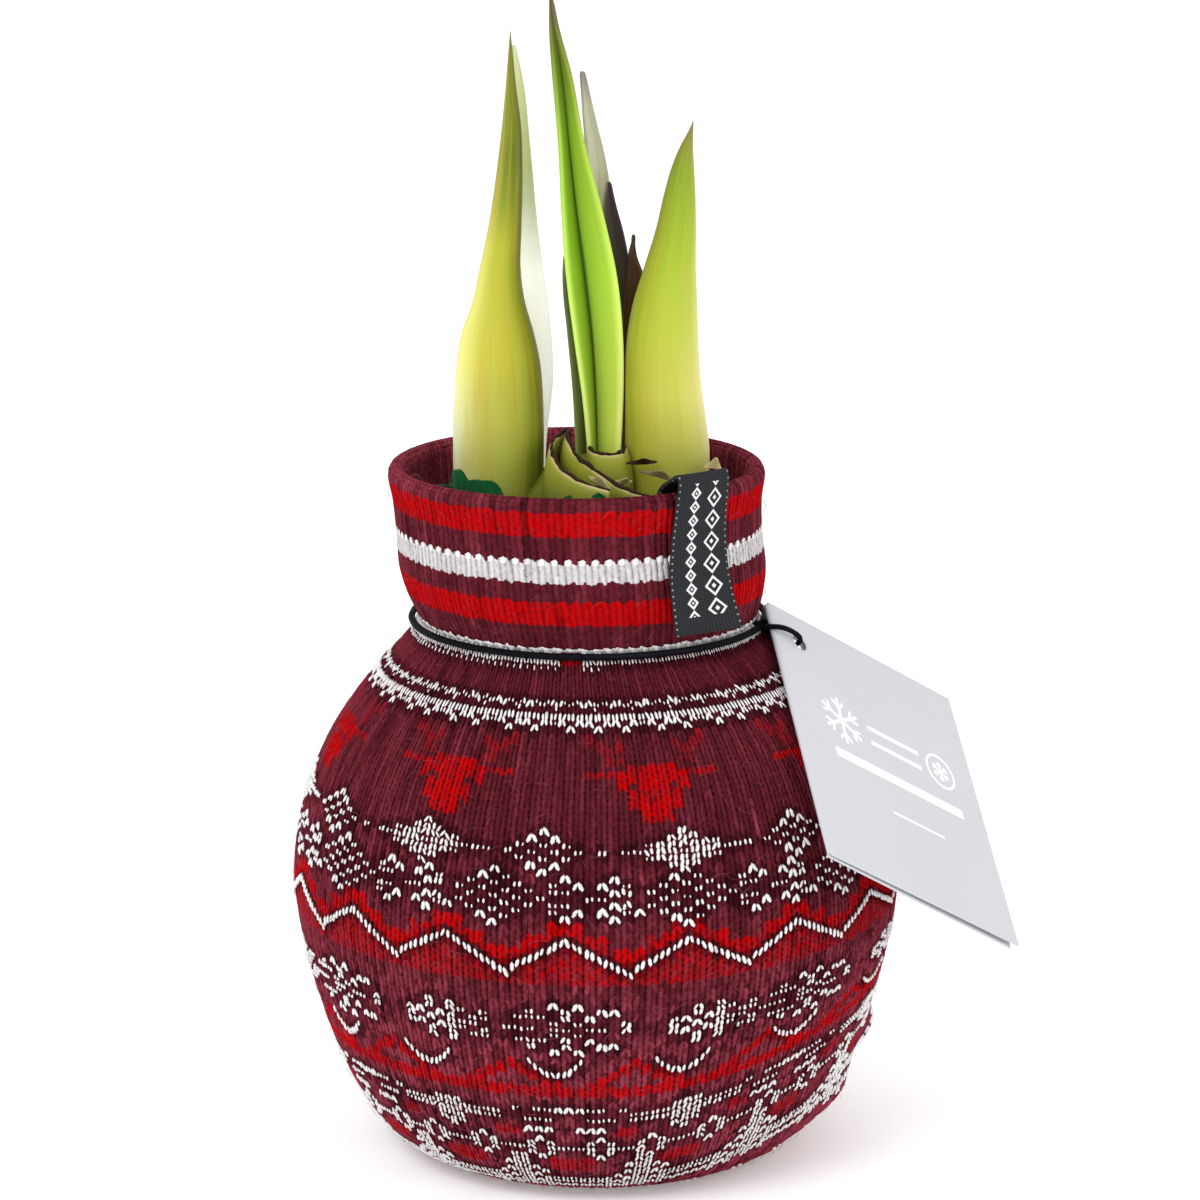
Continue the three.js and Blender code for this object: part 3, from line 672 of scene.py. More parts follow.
toe_wales = WALES // 2
piece, wale, course, leg = field("toe_stitches", LEGS, toe_wales, LAST_COURSE - TOE_COURSE)
course = further(piece, course, TOE_COURSE)
plain = np.zeros(len(wale))
flecks = np.where((course % 7 == 3) & (wale % 3 == 0), SMALL, plain)
lay_yarn(piece, body_line, wale, course, leg, toe_wales, course_place, (flecks, plain, plain, plain, plain))

# ---- The collar ----
# Ribbed and doubled: it comes up inside, turns over the rim in a soft roll and hangs down outside to
# the elastic, in maroon with two red bands and two off-white ones.

RIBS = 88
WHITE_BANDS = ((0, 0), (12, 14))        # first and last course, counted up from the elastic
RED_BANDS = ((5, 8), (19, 22))
TEETH = 15                              # the course that the upper off-white band's teeth reach into
collar_length = reach_of(collar_line)[-1]
collar_courses = int(collar_length / COURSE)


def collar_place(turn, course):
    """Distance of a course down the collar's line."""
    return course * collar_length / collar_courses


def in_bands(up, bands):
    """Where a course lies in one of some bands."""
    return np.any([within(up, first, last) for first, last in bands], axis=0)


piece, wale, course, leg = field("collar_stitches", two_legs((0.36, 1.1, 0.27), 0.05), RIBS, collar_courses)
up = collar_courses - 1 - course
teeth = (up == TEETH) & (leg == 0)
white = in_bands(up, WHITE_BANDS) * PLAIN
white[teeth | (up == 0) & (leg == 1)] = TOOTH
plain = np.zeros(len(wale))
# Painted shade greys the upper off-white band, and painted light takes the shade off the lowest course,
# which faces down over the elastic.
shadow = np.where(up == 0, -0.3, 0.3 * (white == PLAIN))
pattern = white, in_bands(up, RED_BANDS) * 1.0, 0.45 * teeth, plain, shadow
lay_yarn(piece, collar_line, wale, course, leg, RIBS, collar_place, pattern, relief=0.3)

# ---- The cloth behind the stitches ----
# The back of the knit closes the gaps between the stitches: an even wall from inside the collar
# down to the toe, in the collar's band colours darkened by painted shade.

CLOTH_DEPTH = -0.62 * MM            # the face of the wall, under the sleeve's outline
CLOTH_THICK = 0.7 * MM

whole_line = np.vstack([collar_line, body_line[18:]])
whole_length = reach_of(whole_line)[-1]

knit_ground, tree, shader = material("knit_ground", 0.95, gloss=0.0)
down = math_node(tree, "MULTIPLY", attribute(tree, "down"), whole_length * collar_courses / collar_length)
in_white, in_red = 0.0, 0.0
for number, (first, last) in enumerate((*WHITE_BANDS, *RED_BANDS)):
    start, end = collar_courses - 1.0 - last, collar_courses - first
    band = math_node(tree, "COMPARE", down, (start + end) / 2)
    band.node.inputs[2].default_value = (end - start) / 2
    if number < len(WHITE_BANDS):
        in_white = math_node(tree, "MAXIMUM", band, in_white)
    else:
        in_red = math_node(tree, "MAXIMUM", band, in_red)
# Painted shade: the wall's colours are taken a quarter of the way to DEEP_SHADE, for the shade in the gaps.
behind = mix(tree, 0.25, cloth_colour(tree, in_white, in_red), DEEP_SHADE)
fuzzy = node(tree, "Group", {"node_tree": yarn_fuzz}, Color=behind, Fuzz=0.006, Scale=900.0)
surface(tree, shader, *fuzzy.outputs, 0.2 * MM)


def thicken(piece, thickness, rounds=0, offset=0):
    """Gives a sheet its thickness, and soft edges."""
    wall = piece.modifiers.new("wall", "SOLIDIFY")
    wall.thickness = thickness
    wall.offset = offset
    if rounds:
        softer = piece.modifiers.new("soft_edges", "SUBSURF")
        softer.levels = softer.render_levels = rounds
    apply_modifiers(piece)


bm = bmesh.new()
bmesh.ops.create_grid(bm, x_segments=84, y_segments=104, size=0.5)
flat = np.array([vertex.co for vertex in bm.verts]) + 0.5
down_layer = bm.verts.layers.float.new("down")
places = wrap(whole_line, flat[:, 0] * 2 * math.pi, flat[:, 1] * whole_length, CLOTH_DEPTH)
for vertex, place, share in zip(bm.verts, places, flat[:, 1]):
    vertex.co = place
    vertex[down_layer] = share
bmesh.ops.remove_doubles(bm, verts=bm.verts, dist=0.01 * MM)
bmesh.ops.recalc_face_normals(bm, faces=bm.faces)
ground = piece_of("sleeve_ground", bm)
thicken(ground, CLOTH_THICK, offset=-1)
finish_piece(ground, "jacquard_knit", knit_ground, "knit_sleeve")

# ---- Lint ----
# Short loose fibres of the yarn that stand up a little from the knit in all directions.

FIBRES = 2200
FIBRE_RADIUS = 0.028 * MM
fibre_look, tree, shader = material("loose_fibre", 0.9, gloss=0.0)
shader.inputs["Base Color"].default_value = (0.26, 0.085, 0.12, 1)

# The faces of the round blank point inwards, because the bending mirrors it.
bm = bmesh.new()
bmesh.ops.create_uvsphere(bm, u_segments=3, v_segments=4, radius=1)
bmesh.ops.recalc_face_normals(bm, faces=bm.faces)
bmesh.ops.reverse_faces(bm, faces=bm.faces)
fibres = piece_of("loose_fibres", bm)
each = len(fibres.data.vertices)
repeated(fibres, "fibres", FIBRES)
apply_modifiers(fibres)
draws = random.random((6, FIBRES))[:, np.arange(FIBRES * each) // each]
flat = places_of(fibres)
long = (0.5 + 1.3 * draws[0] ** 2) * MM * flat[:, 2]
heading = math.pi * draws[1]
arch = (0.2 + 0.5 * draws[2]) * MM * (1 - flat[:, 2] ** 2)
aside = 0.8 * arch + flat[:, 0] * FIBRE_RADIUS
down = (0.02 + 0.82 * draws[3]) * whole_length + long * np.sin(heading) + aside * np.cos(heading)
turn = draws[4] * 2 * math.pi + (long * np.cos(heading) - aside * np.sin(heading)) / (36 * MM)
lift = (0.02 + 0.12 * draws[5]) * MM + 0.5 * arch + flat[:, 1] * FIBRE_RADIUS
moved(fibres, wrap(whole_line, turn, down, lift))
finish_piece(fibres, "jacquard_knit", fibre_look)

# ---- Elastic ----
# One length of thin round black elastic: a ring in the sleeve's waist, knotted to a loop of the same
# cord that goes through the punched corner of the tag. Its cover is braided.

PINCH_Z = 86 * MM
RING_RADIUS = 27.95 * MM
CORD_RADIUS = 0.55 * MM
LOOP_RADIUS = 0.42 * MM

elastic_look, tree, shader = material("braided_elastic", 0.6, gloss=0.05)
braid = node(tree, "TexCoord").outputs["UV"]
strands = node(tree, "Mapping", Vector=braid, Scale=(2, 260, 1), Rotation=(0, 0, 0.4))
threads = node(tree, "TexWave", Vector=strands.outputs[0], Scale=1.0, Distortion=0.6)
threads_colour = mix(tree, threads.outputs["Fac"], (0.003, 0.003, 0.005, 1), (0.014, 0.014, 0.022, 1))
surface(tree, shader, threads_colour, threads.outputs["Fac"], 0.06 * MM)


def cord_mesh(name, points, radius, closed=False):
    """A round cord through some points, as a mesh. Its radius may change from point to point."""
    curve = bpy.data.curves.new(name, "CURVE")
    curve.dimensions = "3D"
    curve.bevel_depth = 1
    curve.bevel_resolution = 2
    curve.resolution_u = 4
    curve.use_fill_caps = not closed
    spline = curve.splines.new("NURBS")
    spline.points.add(len(points) - 1)
    for knot, place, wide in zip(spline.points, points, np.broadcast_to(radius, len(points))):
        knot.co = (*place, 1)
        knot.radius = wide
    spline.order_u = 4
    spline.use_cyclic_u = closed
    spline.use_endpoint_u = not closed
    drawn = object_of(name, curve)
    mesh = bpy.data.meshes.new_from_object(drawn.evaluated_get(bpy.context.evaluated_depsgraph_get()))
    bpy.data.objects.remove(drawn)
    return mesh


def joined(name, meshes):
    """Several meshes as one piece."""
    bm = bmesh.new()
    for mesh in meshes:
        bm.from_mesh(mesh)
    return piece_of(name, bm)


# The card's own directions and its folded upper corner, from its solid.
card_points = np.array([tuple(vertex.co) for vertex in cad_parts["hang_tag"].data.vertices])
card_across = Vector((0.69, 0.52, -0.5)).normalized()
card_down = Vector((0.17, -0.79, -0.59))
card_down = (card_down - card_down.dot(card_across) * card_across).normalized()
card_out = card_down.cross(card_across)
card_axes = card_across, card_down, card_out
card_spans = [card_points @ np.array(axis) for axis in card_axes]
card_low = [float(span.min()) for span in card_spans]
card_width, card_height, card_deep = (float(np.ptp(span)) for span in card_spans)
HOLE_INSET = 5.7 * MM


def on_card(across, down, out):
    """A place on the card, from its folded upper corner."""
    steps = zip((across, down, out), card_low, card_axes)
    return sum((float(start + step) * axis for step, start, axis in steps), Vector())


waist = Vector((float(lean(PINCH_Z)), 0, PINCH_Z))
turns = np.linspace(0, 2 * math.pi, 72, endpoint=False)
ring_points = [waist + RING_RADIUS * Vector((math.cos(turn), math.sin(turn), 0)) for turn in turns]
hole = on_card(HOLE_INSET, HOLE_INSET, card_deep / 2)
knot_turn = math.atan2(hole.y, hole.x - waist.x) - 0.06
knot = waist + RING_RADIUS * Vector((math.cos(knot_turn), math.sin(knot_turn), 0))
clear = LOOP_RADIUS + 0.35 * MM
loop_route = [
    (-1.4 * MM, card_deep / 2),
    (0.4 * MM, card_deep + clear),
    (HOLE_INSET - 0.7 * MM, card_deep + clear),
    (HOLE_INSET + 0.2 * MM, card_deep / 2),
    (HOLE_INSET - 0.7 * MM, -clear),
    (2.4 * MM, -clear),
]
loop_points = [knot] + [on_card(across, HOLE_INSET, out) for across, out in loop_route]
knot_turns = [
    knot + MM * Vector((0.9 * math.cos(t), 0.9 * math.sin(t), 0.8 * math.sin(2 * t)))
    for t in np.linspace(0, 2 * math.pi, 10, endpoint=False)
]
elastic = joined("braided_elastic_cord", [
    cord_mesh("ring", ring_points, CORD_RADIUS, closed=True),
    cord_mesh("loop", loop_points, LOOP_RADIUS, closed=True),
    cord_mesh("knot", knot_turns, LOOP_RADIUS, closed=True),
])
finish_piece(elastic, "black_elastic", elastic_look, "elastic_cord")

# ---- Hang tag ----
# A light grey card folded once down its left side, so that it has two leaves, and punched in the
# corner. It hangs on the elastic and leans on the sleeve. It is printed in white with a snow star.

HOLE_RADIUS = 1.5 * MM
CARD_LEAF = 0.35 * MM


def card_leaf(name, width, rise):
    """One leaf of the card: a punched sheet that stands off by some height at each place."""
    bm = bmesh.new()
    bmesh.ops.create_grid(bm, x_segments=44, y_segments=50, size=0.5)
    middle = Vector((HOLE_INSET, HOLE_INSET, 0))
    for vertex in bm.verts:
        vertex.co = ((vertex.co.x + 0.5) * width, (vertex.co.y + 0.5) * card_height, 0)
    punched = [vertex for vertex in bm.verts if (vertex.co - middle).length < 1.02 * HOLE_RADIUS]
    bmesh.ops.delete(bm, geom=punched, context="VERTS")
    for vertex in bm.verts:
        if vertex.is_boundary and (vertex.co - middle).length < 2.2 * HOLE_RADIUS:
            vertex.co = middle + (vertex.co - middle).normalized() * HOLE_RADIUS
    for vertex in bm.verts:
        across, down = vertex.co.x, vertex.co.y
        vertex.co = on_card(across, down, rise(across / card_width))
    piece = piece_of(name, bm)
    wall = piece.modifiers.new("card", "SOLIDIFY")
    wall.thickness = CARD_LEAF
    wall.offset = 0
    edge = piece.modifiers.new("soft_edge", "BEVEL")
    edge.width = 0.06 * MM
    edge.segments = 2
    apply_modifiers(piece)
    return piece


def both(tree, a, b):
    """1 where two masks are, or the product of two values."""
    return math_node(tree, "MULTIPLY", a, b)


def either(tree, a, b):
    """1 where one of two masks is."""
    return math_node(tree, "MAXIMUM", a, b)


def near(tree, value, at, half):
    """1 where a value is within a half width of another."""
    off = math_node(tree, "ABSOLUTE", math_node(tree, "SUBTRACT", value, at))
    return math_node(tree, "LESS_THAN", off, half)


def from_point(tree, place, at):
    """The two distances of a place on the card from a point of it."""
    return [math_node(tree, "SUBTRACT", value, start) for value, start in zip(place, at)]


def printed_ring(tree, place, at, radius, half):
    """A ring of a radius and half a line's width."""
    x, y = from_point(tree, place, at)
    far = math_node(tree, "SQRT", math_node(tree, "ADD", both(tree, x, x), both(tree, y, y)))
    return near(tree, far, radius, half)


def printed_star(tree, place, at, reach, half):
    """A plain snow star: six arms with a forked tip."""
    x, y = from_point(tree, place, at)
    drawn = 0.0
    for step in range(3):
        turn = math.radians(60 * step + 30)
        along = math_node(tree, "ADD", both(tree, x, math.cos(turn)), both(tree, y, math.sin(turn)))
        beside = math_node(tree, "SUBTRACT", both(tree, y, math.cos(turn)), both(tree, x, math.sin(turn)))
        off, far = (math_node(tree, "ABSOLUTE", value) for value in (beside, along))
        arm = both(tree, math_node(tree, "LESS_THAN", off, half), math_node(tree, "LESS_THAN", far, reach))
        fork = near(tree, math_node(tree, "SUBTRACT", far, off), 0.55 * reach, 1.2 * half)
        fork = both(tree, fork, math_node(tree, "LESS_THAN", off, 0.28 * reach))
        drawn = either(tree, either(tree, arm, fork), drawn)
    return drawn


def printed_rule(tree, place, start, end, down, half):
    """A rule across the card."""
    long = near(tree, place[0], (start + end) / 2, (end - start) / 2)
    return both(tree, long, near(tree, place[1], down, half))


card_look, tree, shader = material("grey_card", 0.62)
where = node(tree, "TexCoord").outputs["Object"]
card_place = []
for axis, start in zip(card_axes[:2], card_low):
    dot = node(tree, "VectorMath", {"operation": "DOT_PRODUCT"}, i0=where, i1=axis)
    card_place.append(math_node(tree, "SUBTRACT", dot.outputs["Value"], start))
STAR_AT = (11.5 * MM, 19 * MM)
BADGE_AT = (35 * MM, 19 * MM)
RULES = (       # start, end, distance down and half a line's width of each, in millimetres
    (18, 30, 17.5, 0.4), (18, 30, 20.5, 0.4), (8, 38, 26.5, 0.9), (19, 31, 34, 0.22),
)
print_marks = printed_star(tree, card_place, STAR_AT, 4.6 * MM, 0.3 * MM)
print_marks = either(tree, print_marks, printed_ring(tree, card_place, BADGE_AT, 3.2 * MM, 0.22 * MM))
print_marks = either(tree, print_marks, printed_star(tree, card_place, BADGE_AT, 1.9 * MM, 0.2 * MM))
for rule in RULES:
    drawn = printed_rule(tree, card_place, *(size * MM for size in rule))
    print_marks = either(tree, print_marks, drawn)
pulp = node(tree, "TexNoise", Vector=where, Scale=900.0, Detail=4.0)
cloudy = node(tree, "TexNoise", Vector=where, Scale=35.0, Detail=2.0)
board = mix(tree, cloudy.outputs["Fac"], (0.58, 0.59, 0.62, 1), (0.53, 0.54, 0.57, 1))
board = mix(tree, both(tree, pulp.outputs["Fac"], 0.10), board, (0.45, 0.46, 0.5, 1))
surface(tree, shader, mix(tree, print_marks, board, (0.98, 0.98, 0.98, 1)), pulp.outputs["Fac"], 0.02 * MM)

rear_leaf = card_leaf("tag_rear_leaf", card_width - 0.6 * MM, lambda across: 0.25 * MM)
front_leaf = card_leaf(
    "tag_front_leaf", card_width, lambda across: 0.85 * MM + (card_deep - 1.05 * MM) * across ** 0.7
)
fold_downs = np.linspace(0.4 * MM, card_height - 0.4 * MM, 12)
fold_route = [on_card(0.05 * MM, down, 0.55 * MM) for down in fold_downs]
fold = joined("tag_fold", [cord_mesh("fold", fold_route, 0.45 * MM)])
for piece in (rear_leaf, fold):
    finish_piece(piece, "grey_card", card_look)
finish_piece(front_leaf, "grey_card", card_look, "hang_tag")

# ---- Woven label ----
# A narrow black damask ribbon, folded over the collar's rim and sewn there. Its outside leg hangs
# free, and its edges are woven. The front has plain columns of lozenges in white.

LABEL_WIDTH = 10.8 * MM
LABEL_THICK = 0.35 * MM
LABEL_TURN = math.radians(38)       # round from the front towards the tag

label_look, tree, shader = material("black_ribbon", 0.7, gloss=0.12)
across, along = (attribute(tree, name) for name in ("across", "along"))
ribbon = node(tree, "CombineXYZ", X=across, Y=along).outputs[0]
weft = node(tree, "TexWave", {"bands_direction": "Y"}, Vector=ribbon, Scale=900.0, Distortion=0.4)
warp = node(tree, "TexWave", {"bands_direction": "X"}, Vector=ribbon, Scale=600.0, Distortion=0.4)
weave = both(tree, weft.outputs["Fac"], warp.outputs["Fac"])
black = mix(tree, weave, (0.012, 0.013, 0.015, 1), (0.040, 0.043, 0.047, 1))
figure = 0.0
for column, step, half in ((-1.7 * MM, 2.1 * MM, 0.8 * MM), (2.3 * MM, 3.4 * MM, 1.35 * MM)):
    beside = math_node(tree, "ABSOLUTE", math_node(tree, "SUBTRACT", across, column))
    lozenge = math_node(tree, "ADD", beside, math_node(tree, "PINGPONG", along, step / 2))
    outline = near(tree, lozenge, half, 0.24 * MM)
    figure = either(tree, either(tree, outline, math_node(tree, "LESS_THAN", lozenge, 0.3 * half)), figure)
figure = both(tree, figure, near(tree, along, 21.3 * MM, 10.2 * MM))
at_edge = near(tree, math_node(tree, "ABSOLUTE", across), LABEL_WIDTH / 2 - 0.25 * MM, 0.14 * MM)
in_dot = math_node(tree, "LESS_THAN", math_node(tree, "PINGPONG", along, 0.5 * MM), 0.13 * MM)
edge_dots = both(tree, at_edge, in_dot)
woven = mix(tree, both(tree, figure, 0.92), black, (0.78, 0.79, 0.78, 1))
woven = mix(tree, both(tree, edge_dots, 0.6), woven, (0.45, 0.46, 0.46, 1))
surface(tree, shader, woven, weave, 0.05 * MM)


def grow(name, across, up):
    """A flat grid to bend into a sheet, with each vertex's place across (-1 to 1) and up (0 to 1)."""
    bm = bmesh.new()
    bmesh.ops.create_grid(bm, x_segments=across, y_segments=up, size=1)
    piece = piece_of(name, bm)
    flat = places_of(piece)
    return piece, flat[:, 0], (flat[:, 1] + 1) / 2


label_side = smooth_line([
    [25.3, 106.6], [25.4, 108.8], [26.0, 110.8], [27.2, 112.0], [28.6, 112.7], [29.7, 113.5], [30.4, 113.6],
    [30.8, 112.6], [30.8, 110.5], [30.6, 107], [30.4, 102.5], [30.5, 98], [30.9, 93.5], [31.5, 89.4],
], 8)
label_reach = reach_of(label_side)
label, across, share = grow("woven_ribbon", 16, 72)
across = across * LABEL_WIDTH / 2
along = share * label_reach[-1]
note(label, "across", across)
note(label, "along", along)
r, z = read_line(label_side, label_reach, along)
free = np.clip((share - 0.45) / 0.55, 0, 1) ** 2
r = r - across ** 2 / (120 * MM) + free * 1.6 * MM * np.clip(across / LABEL_WIDTH + 0.5, 0, 1) ** 2
near_rim = np.clip((z - 98 * MM) / (14 * MM), 0, 1)
swing = 2.2 * free * np.clip(across / LABEL_WIDTH, 0, 1) - 1.6 * share ** 2
sideways = across * (1 - 0.1 * near_rim) + MM * (swing + 0.9 * near_rim)
outward = np.array([math.sin(LABEL_TURN), -math.cos(LABEL_TURN), 0])
beside = np.array([math.cos(LABEL_TURN), math.sin(LABEL_TURN), 0])
places = np.outer(r, outward) + np.outer(sideways, beside)
moved(label, np.column_stack([places[:, 0] + lean(z), places[:, 1], z]))
thicken(label, LABEL_THICK)
finish_piece(label, "black_ribbon", label_look, "woven_label")

# ---- Wax ----
# The bulb was dipped in dark green wax. It ends on the neck in a ragged rim, with a torn flap that
# stands up at the front left.

WAX_THICK = 0.9 * MM

wax_look, tree, shader = material("green_wax", 0.4, gloss=0.06)
where = node(tree, "TexCoord").outputs["Object"]
uneven = node(tree, "TexNoise", Vector=where, Scale=220.0, Detail=3.0)
waxy = mix(tree, uneven.outputs["Fac"], (0.0003, 0.028, 0.006, 1), (0.0005, 0.08, 0.018, 1))
surface(tree, shader, waxy, uneven.outputs["Fac"], 0.25 * MM)


def revolved(name, line, around, along, shaped):
    """A closed skin round the middle line of the bulb, on a line of radii and heights."""
    bm = bmesh.new()
    bmesh.ops.create_grid(bm, x_segments=around, y_segments=along, size=0.5)
    flat = np.array([vertex.co for vertex in bm.verts])
    turn, share = flat[:, 0] * 2 * math.pi, flat[:, 1] + 0.5
    reach = reach_of(line)
    r, z = shaped(turn, *read_line(line, reach, share * reach[-1]))
    for vertex, place in zip(bm.verts, np.column_stack([r * np.sin(turn) + lean(z), -r * np.cos(turn), z])):
        vertex.co = place
    bmesh.ops.remove_doubles(bm, verts=bm.verts, dist=0.02 * MM)
    bmesh.ops.recalc_face_normals(bm, faces=bm.faces)
    return piece_of(name, bm)


def torn_rim(turn, r, z):
    """Lifts the rim of the wax into teeth, lobes and its flap. A turn of 0 is the front."""
    flap = np.maximum(6.2 * np.exp(-((turn + 0.93) / 0.12) ** 4), 5.3 * np.exp(-((turn + 0.69) / 0.19) ** 8))
    front = 4.4 * np.exp(-((turn + 0.06) / 0.08) ** 4) + 4.2 * np.exp(-((turn - 0.17) / 0.08) ** 4)
    teeth = 0.4 * np.sin(7 * turn + 1) + 0.3 * np.sin(17 * turn) + 0.12 * np.sin(41 * turn + 2)
    top = np.clip((z / MM - 96) / 8, 0, 1)
    return r + 0.25 * MM * np.sin(9 * turn + 3) * top, z + top ** 2 * MM * (1.5 + teeth + flap + front)


wax_line = smooth_line([
    [0, 1.9], [12, 1.9], [23, 1.9], [30, 3.2], [36.3, 10], [41, 20], [44.6, 31], [46.3, 42], [45.2, 53],
    [41.4, 64], [35.5, 73.5], [29, 81], [24.7, 86.5], [23.1, 93], [22.9, 100], [22.8, 104],
], 8)
wax = revolved("wax_shell", wax_line, 160, 36, torn_rim)
thicken(wax, WAX_THICK, offset=-1)
finish_piece(wax, "green_wax", wax_look, "wax_coat")

# ---- Bulb ----
# The living bulb: a globe of fleshy scales. On its top the old scales end in dry brown margins round
# the foot of the leaves, with the cut end of last year's leaf and some torn, papery skin.

CROWN_MIDDLE = (0.5 * MM, -0.5 * MM)        # the foot of the middle leaves
SCALE_THICK = 0.6 * MM
SKIN_THICK = 0.3 * MM


def ramp(tree, value, stops):
    """A colour that changes along a value, by stops of a place, red, green and blue."""
    made = node(tree, "ValToRGB", Fac=value)
    elements = made.color_ramp.elements
    elements[0].position, elements[1].position = stops[0][0], stops[-1][0]
    elements[0].color, elements[1].color = (*stops[0][1:], 1), (*stops[-1][1:], 1)
    for place, *colour in stops[1:-1]:
        elements.new(place).color = (*colour, 1)
    return made.outputs["Color"]


bulb_look, tree, shader = material("bulb_flesh", 0.5, subsurface=0.05, gloss=0.06)
where = node(tree, "TexCoord").outputs["Object"]
height = node(tree, "SeparateXYZ", Vector=where).outputs["Z"]
up = node(tree, "MapRange", Value=height, i1=104 * MM, i2=116 * MM).outputs[0]
# The flesh darkens towards the bottom of the crown: painted shade down in the neck.
flesh = ramp(tree, up, [
    (0, 0.03, 0.045, 0.004), (0.35, 0.11, 0.14, 0.012), (0.7, 0.27, 0.30, 0.024),
    (1, 0.42, 0.44, 0.08),
])
mottle = node(tree, "TexNoise", Vector=where, Scale=260.0, Detail=4.0)
flesh = mix(tree, both(tree, mottle.outputs["Fac"], 0.3), flesh, (0.36, 0.34, 0.07, 1))
dried = math_node(tree, "MULTIPLY", attribute(tree, "dry"), 2.0)
flesh = mix(tree, math_node(tree, "MINIMUM", dried, 1.0), flesh, (0.50, 0.42, 0.20, 1))
crisp = math_node(tree, "SUBTRACT", dried, 1.0, clamp=True)
flesh = mix(tree, crisp, flesh, (0.030, 0.014, 0.009, 1))
surface(tree, shader, flesh, mottle.outputs["Fac"], 0.25 * MM)


def mound(turn, r, z):
    """Low ribs on the crown, and its rise towards the leaves."""
    x, y = r * np.sin(turn) + lean(z), -r * np.cos(turn)
    on_top = np.clip((z / MM - 104) / 3, 0, 1)
    ribs = 0.45 * MM * np.sin(11 * turn + 2 * np.sin(turn)) * on_top * np.clip(r / (15 * MM), 0, 1)
    rise = 1.4 * MM * np.exp(-((x - CROWN_MIDDLE[0]) ** 2 + (y - CROWN_MIDDLE[1]) ** 2) / (8 * MM) ** 2)
    return r, z + ribs + rise * on_top


bulb_line = smooth_line([
    [0, 3.1], [12, 3.1], [22, 3.1], [30.5, 6.5], [36.5, 14.5], [40.8, 26], [43.2, 42], [42.8, 55],
    [37.8, 66.5], [31, 75.5], [22.5, 86], [21.2, 93], [21.2, 99], [20.6, 101.4], [18.4, 102.8], [15, 103.8],
    [11, 105], [7.5, 107.4], [3.5, 110], [0, 110.8],
], 8)
bulb = revolved("bulb_globe", bulb_line, 96, 60, mound)
note(bulb, "dry", np.zeros(len(bulb.data.vertices)))
finish_piece(bulb, "bulb_skin", bulb_look, "bulb")


def smooth_route(points, count):
    """Evenly spread places on a smooth line through some points, given in millimetres."""
    line = smooth_line(points, 16)
    reach = reach_of(line)
    return np.column_stack(read_line(line, reach, np.linspace(0, reach[-1], count)))


def on_route(route, count, at):
    """Places on a smooth route, by their share of its length."""
    return np.column_stack(read_line(smooth_route(route, count), np.linspace(0, 1, count), at))


def old_scale(name, margin, spread, fall, margin_radius):
    """An old scale: a fleshy skirt that falls away from its dry, rolled margin."""
    piece, across, up = grow(name, 36, 9)
    at = (across + 1) / 2
    top = on_route(margin, 60, at)
    out = top[:, :2] - np.array(CROWN_MIDDLE)
    out /= np.linalg.norm(out, axis=1)[:, None]
    top[:, :2] += out * (spread * MM * np.sin(up * math.pi / 2))[:, None]
    top[:, 2] -= fall * MM * up ** 1.2 + 0.15 * MM * up * np.sin(9 * across)
    moved(piece, top)
    note(piece, "dry", 0.6 * np.clip(1 - up * 8, 0, 1))
    thicken(piece, SCALE_THICK, 1)
    finish_piece(piece, "bulb_skin", bulb_look)
    wobble = random.normal(0, 0.10 * MM, (60, 3))
    wobble[1:-1] = (wobble[:-2] + wobble[1:-1] + wobble[2:]) / 2
    thick = margin_radius * MM * (1 + 0.25 * np.sin(np.linspace(0, 19, 60)))
    thick[[0, -1]] *= 0.4
    line = smooth_route(margin, 60) + wobble + [0, 0, 0.1 * MM]
    edge = joined(name + "_margin", [cord_mesh("margin", line, thick)])
    note(edge, "dry", np.ones(len(edge.data.vertices)))
    finish_piece(edge, "bulb_skin", bulb_look)


def torn_skin(name, route, lift, dryness):
    """A torn strip of old skin: it starts on a route and stands up from it, with a ragged, curled edge."""
    piece, across, up = grow(name, 24, 4)
    at = (across + 1) / 2
    places = on_route(route, 40, at)
    blunt = np.sin(math.pi * np.clip(at, 0.05, 0.95)) ** 0.5
    ragged = up * blunt * (0.8 + 0.25 * np.sin(9 * at + 3))
    places += ragged[:, None] * np.array(lift) * MM
    places[:, 1] += 0.5 * MM * up ** 2 * np.sin(9 * at)
    moved(piece, places)
    note(piece, "dry", np.full(len(at), dryness))
    thicken(piece, SKIN_THICK, 1)
    finish_piece(piece, "bulb_skin", bulb_look)


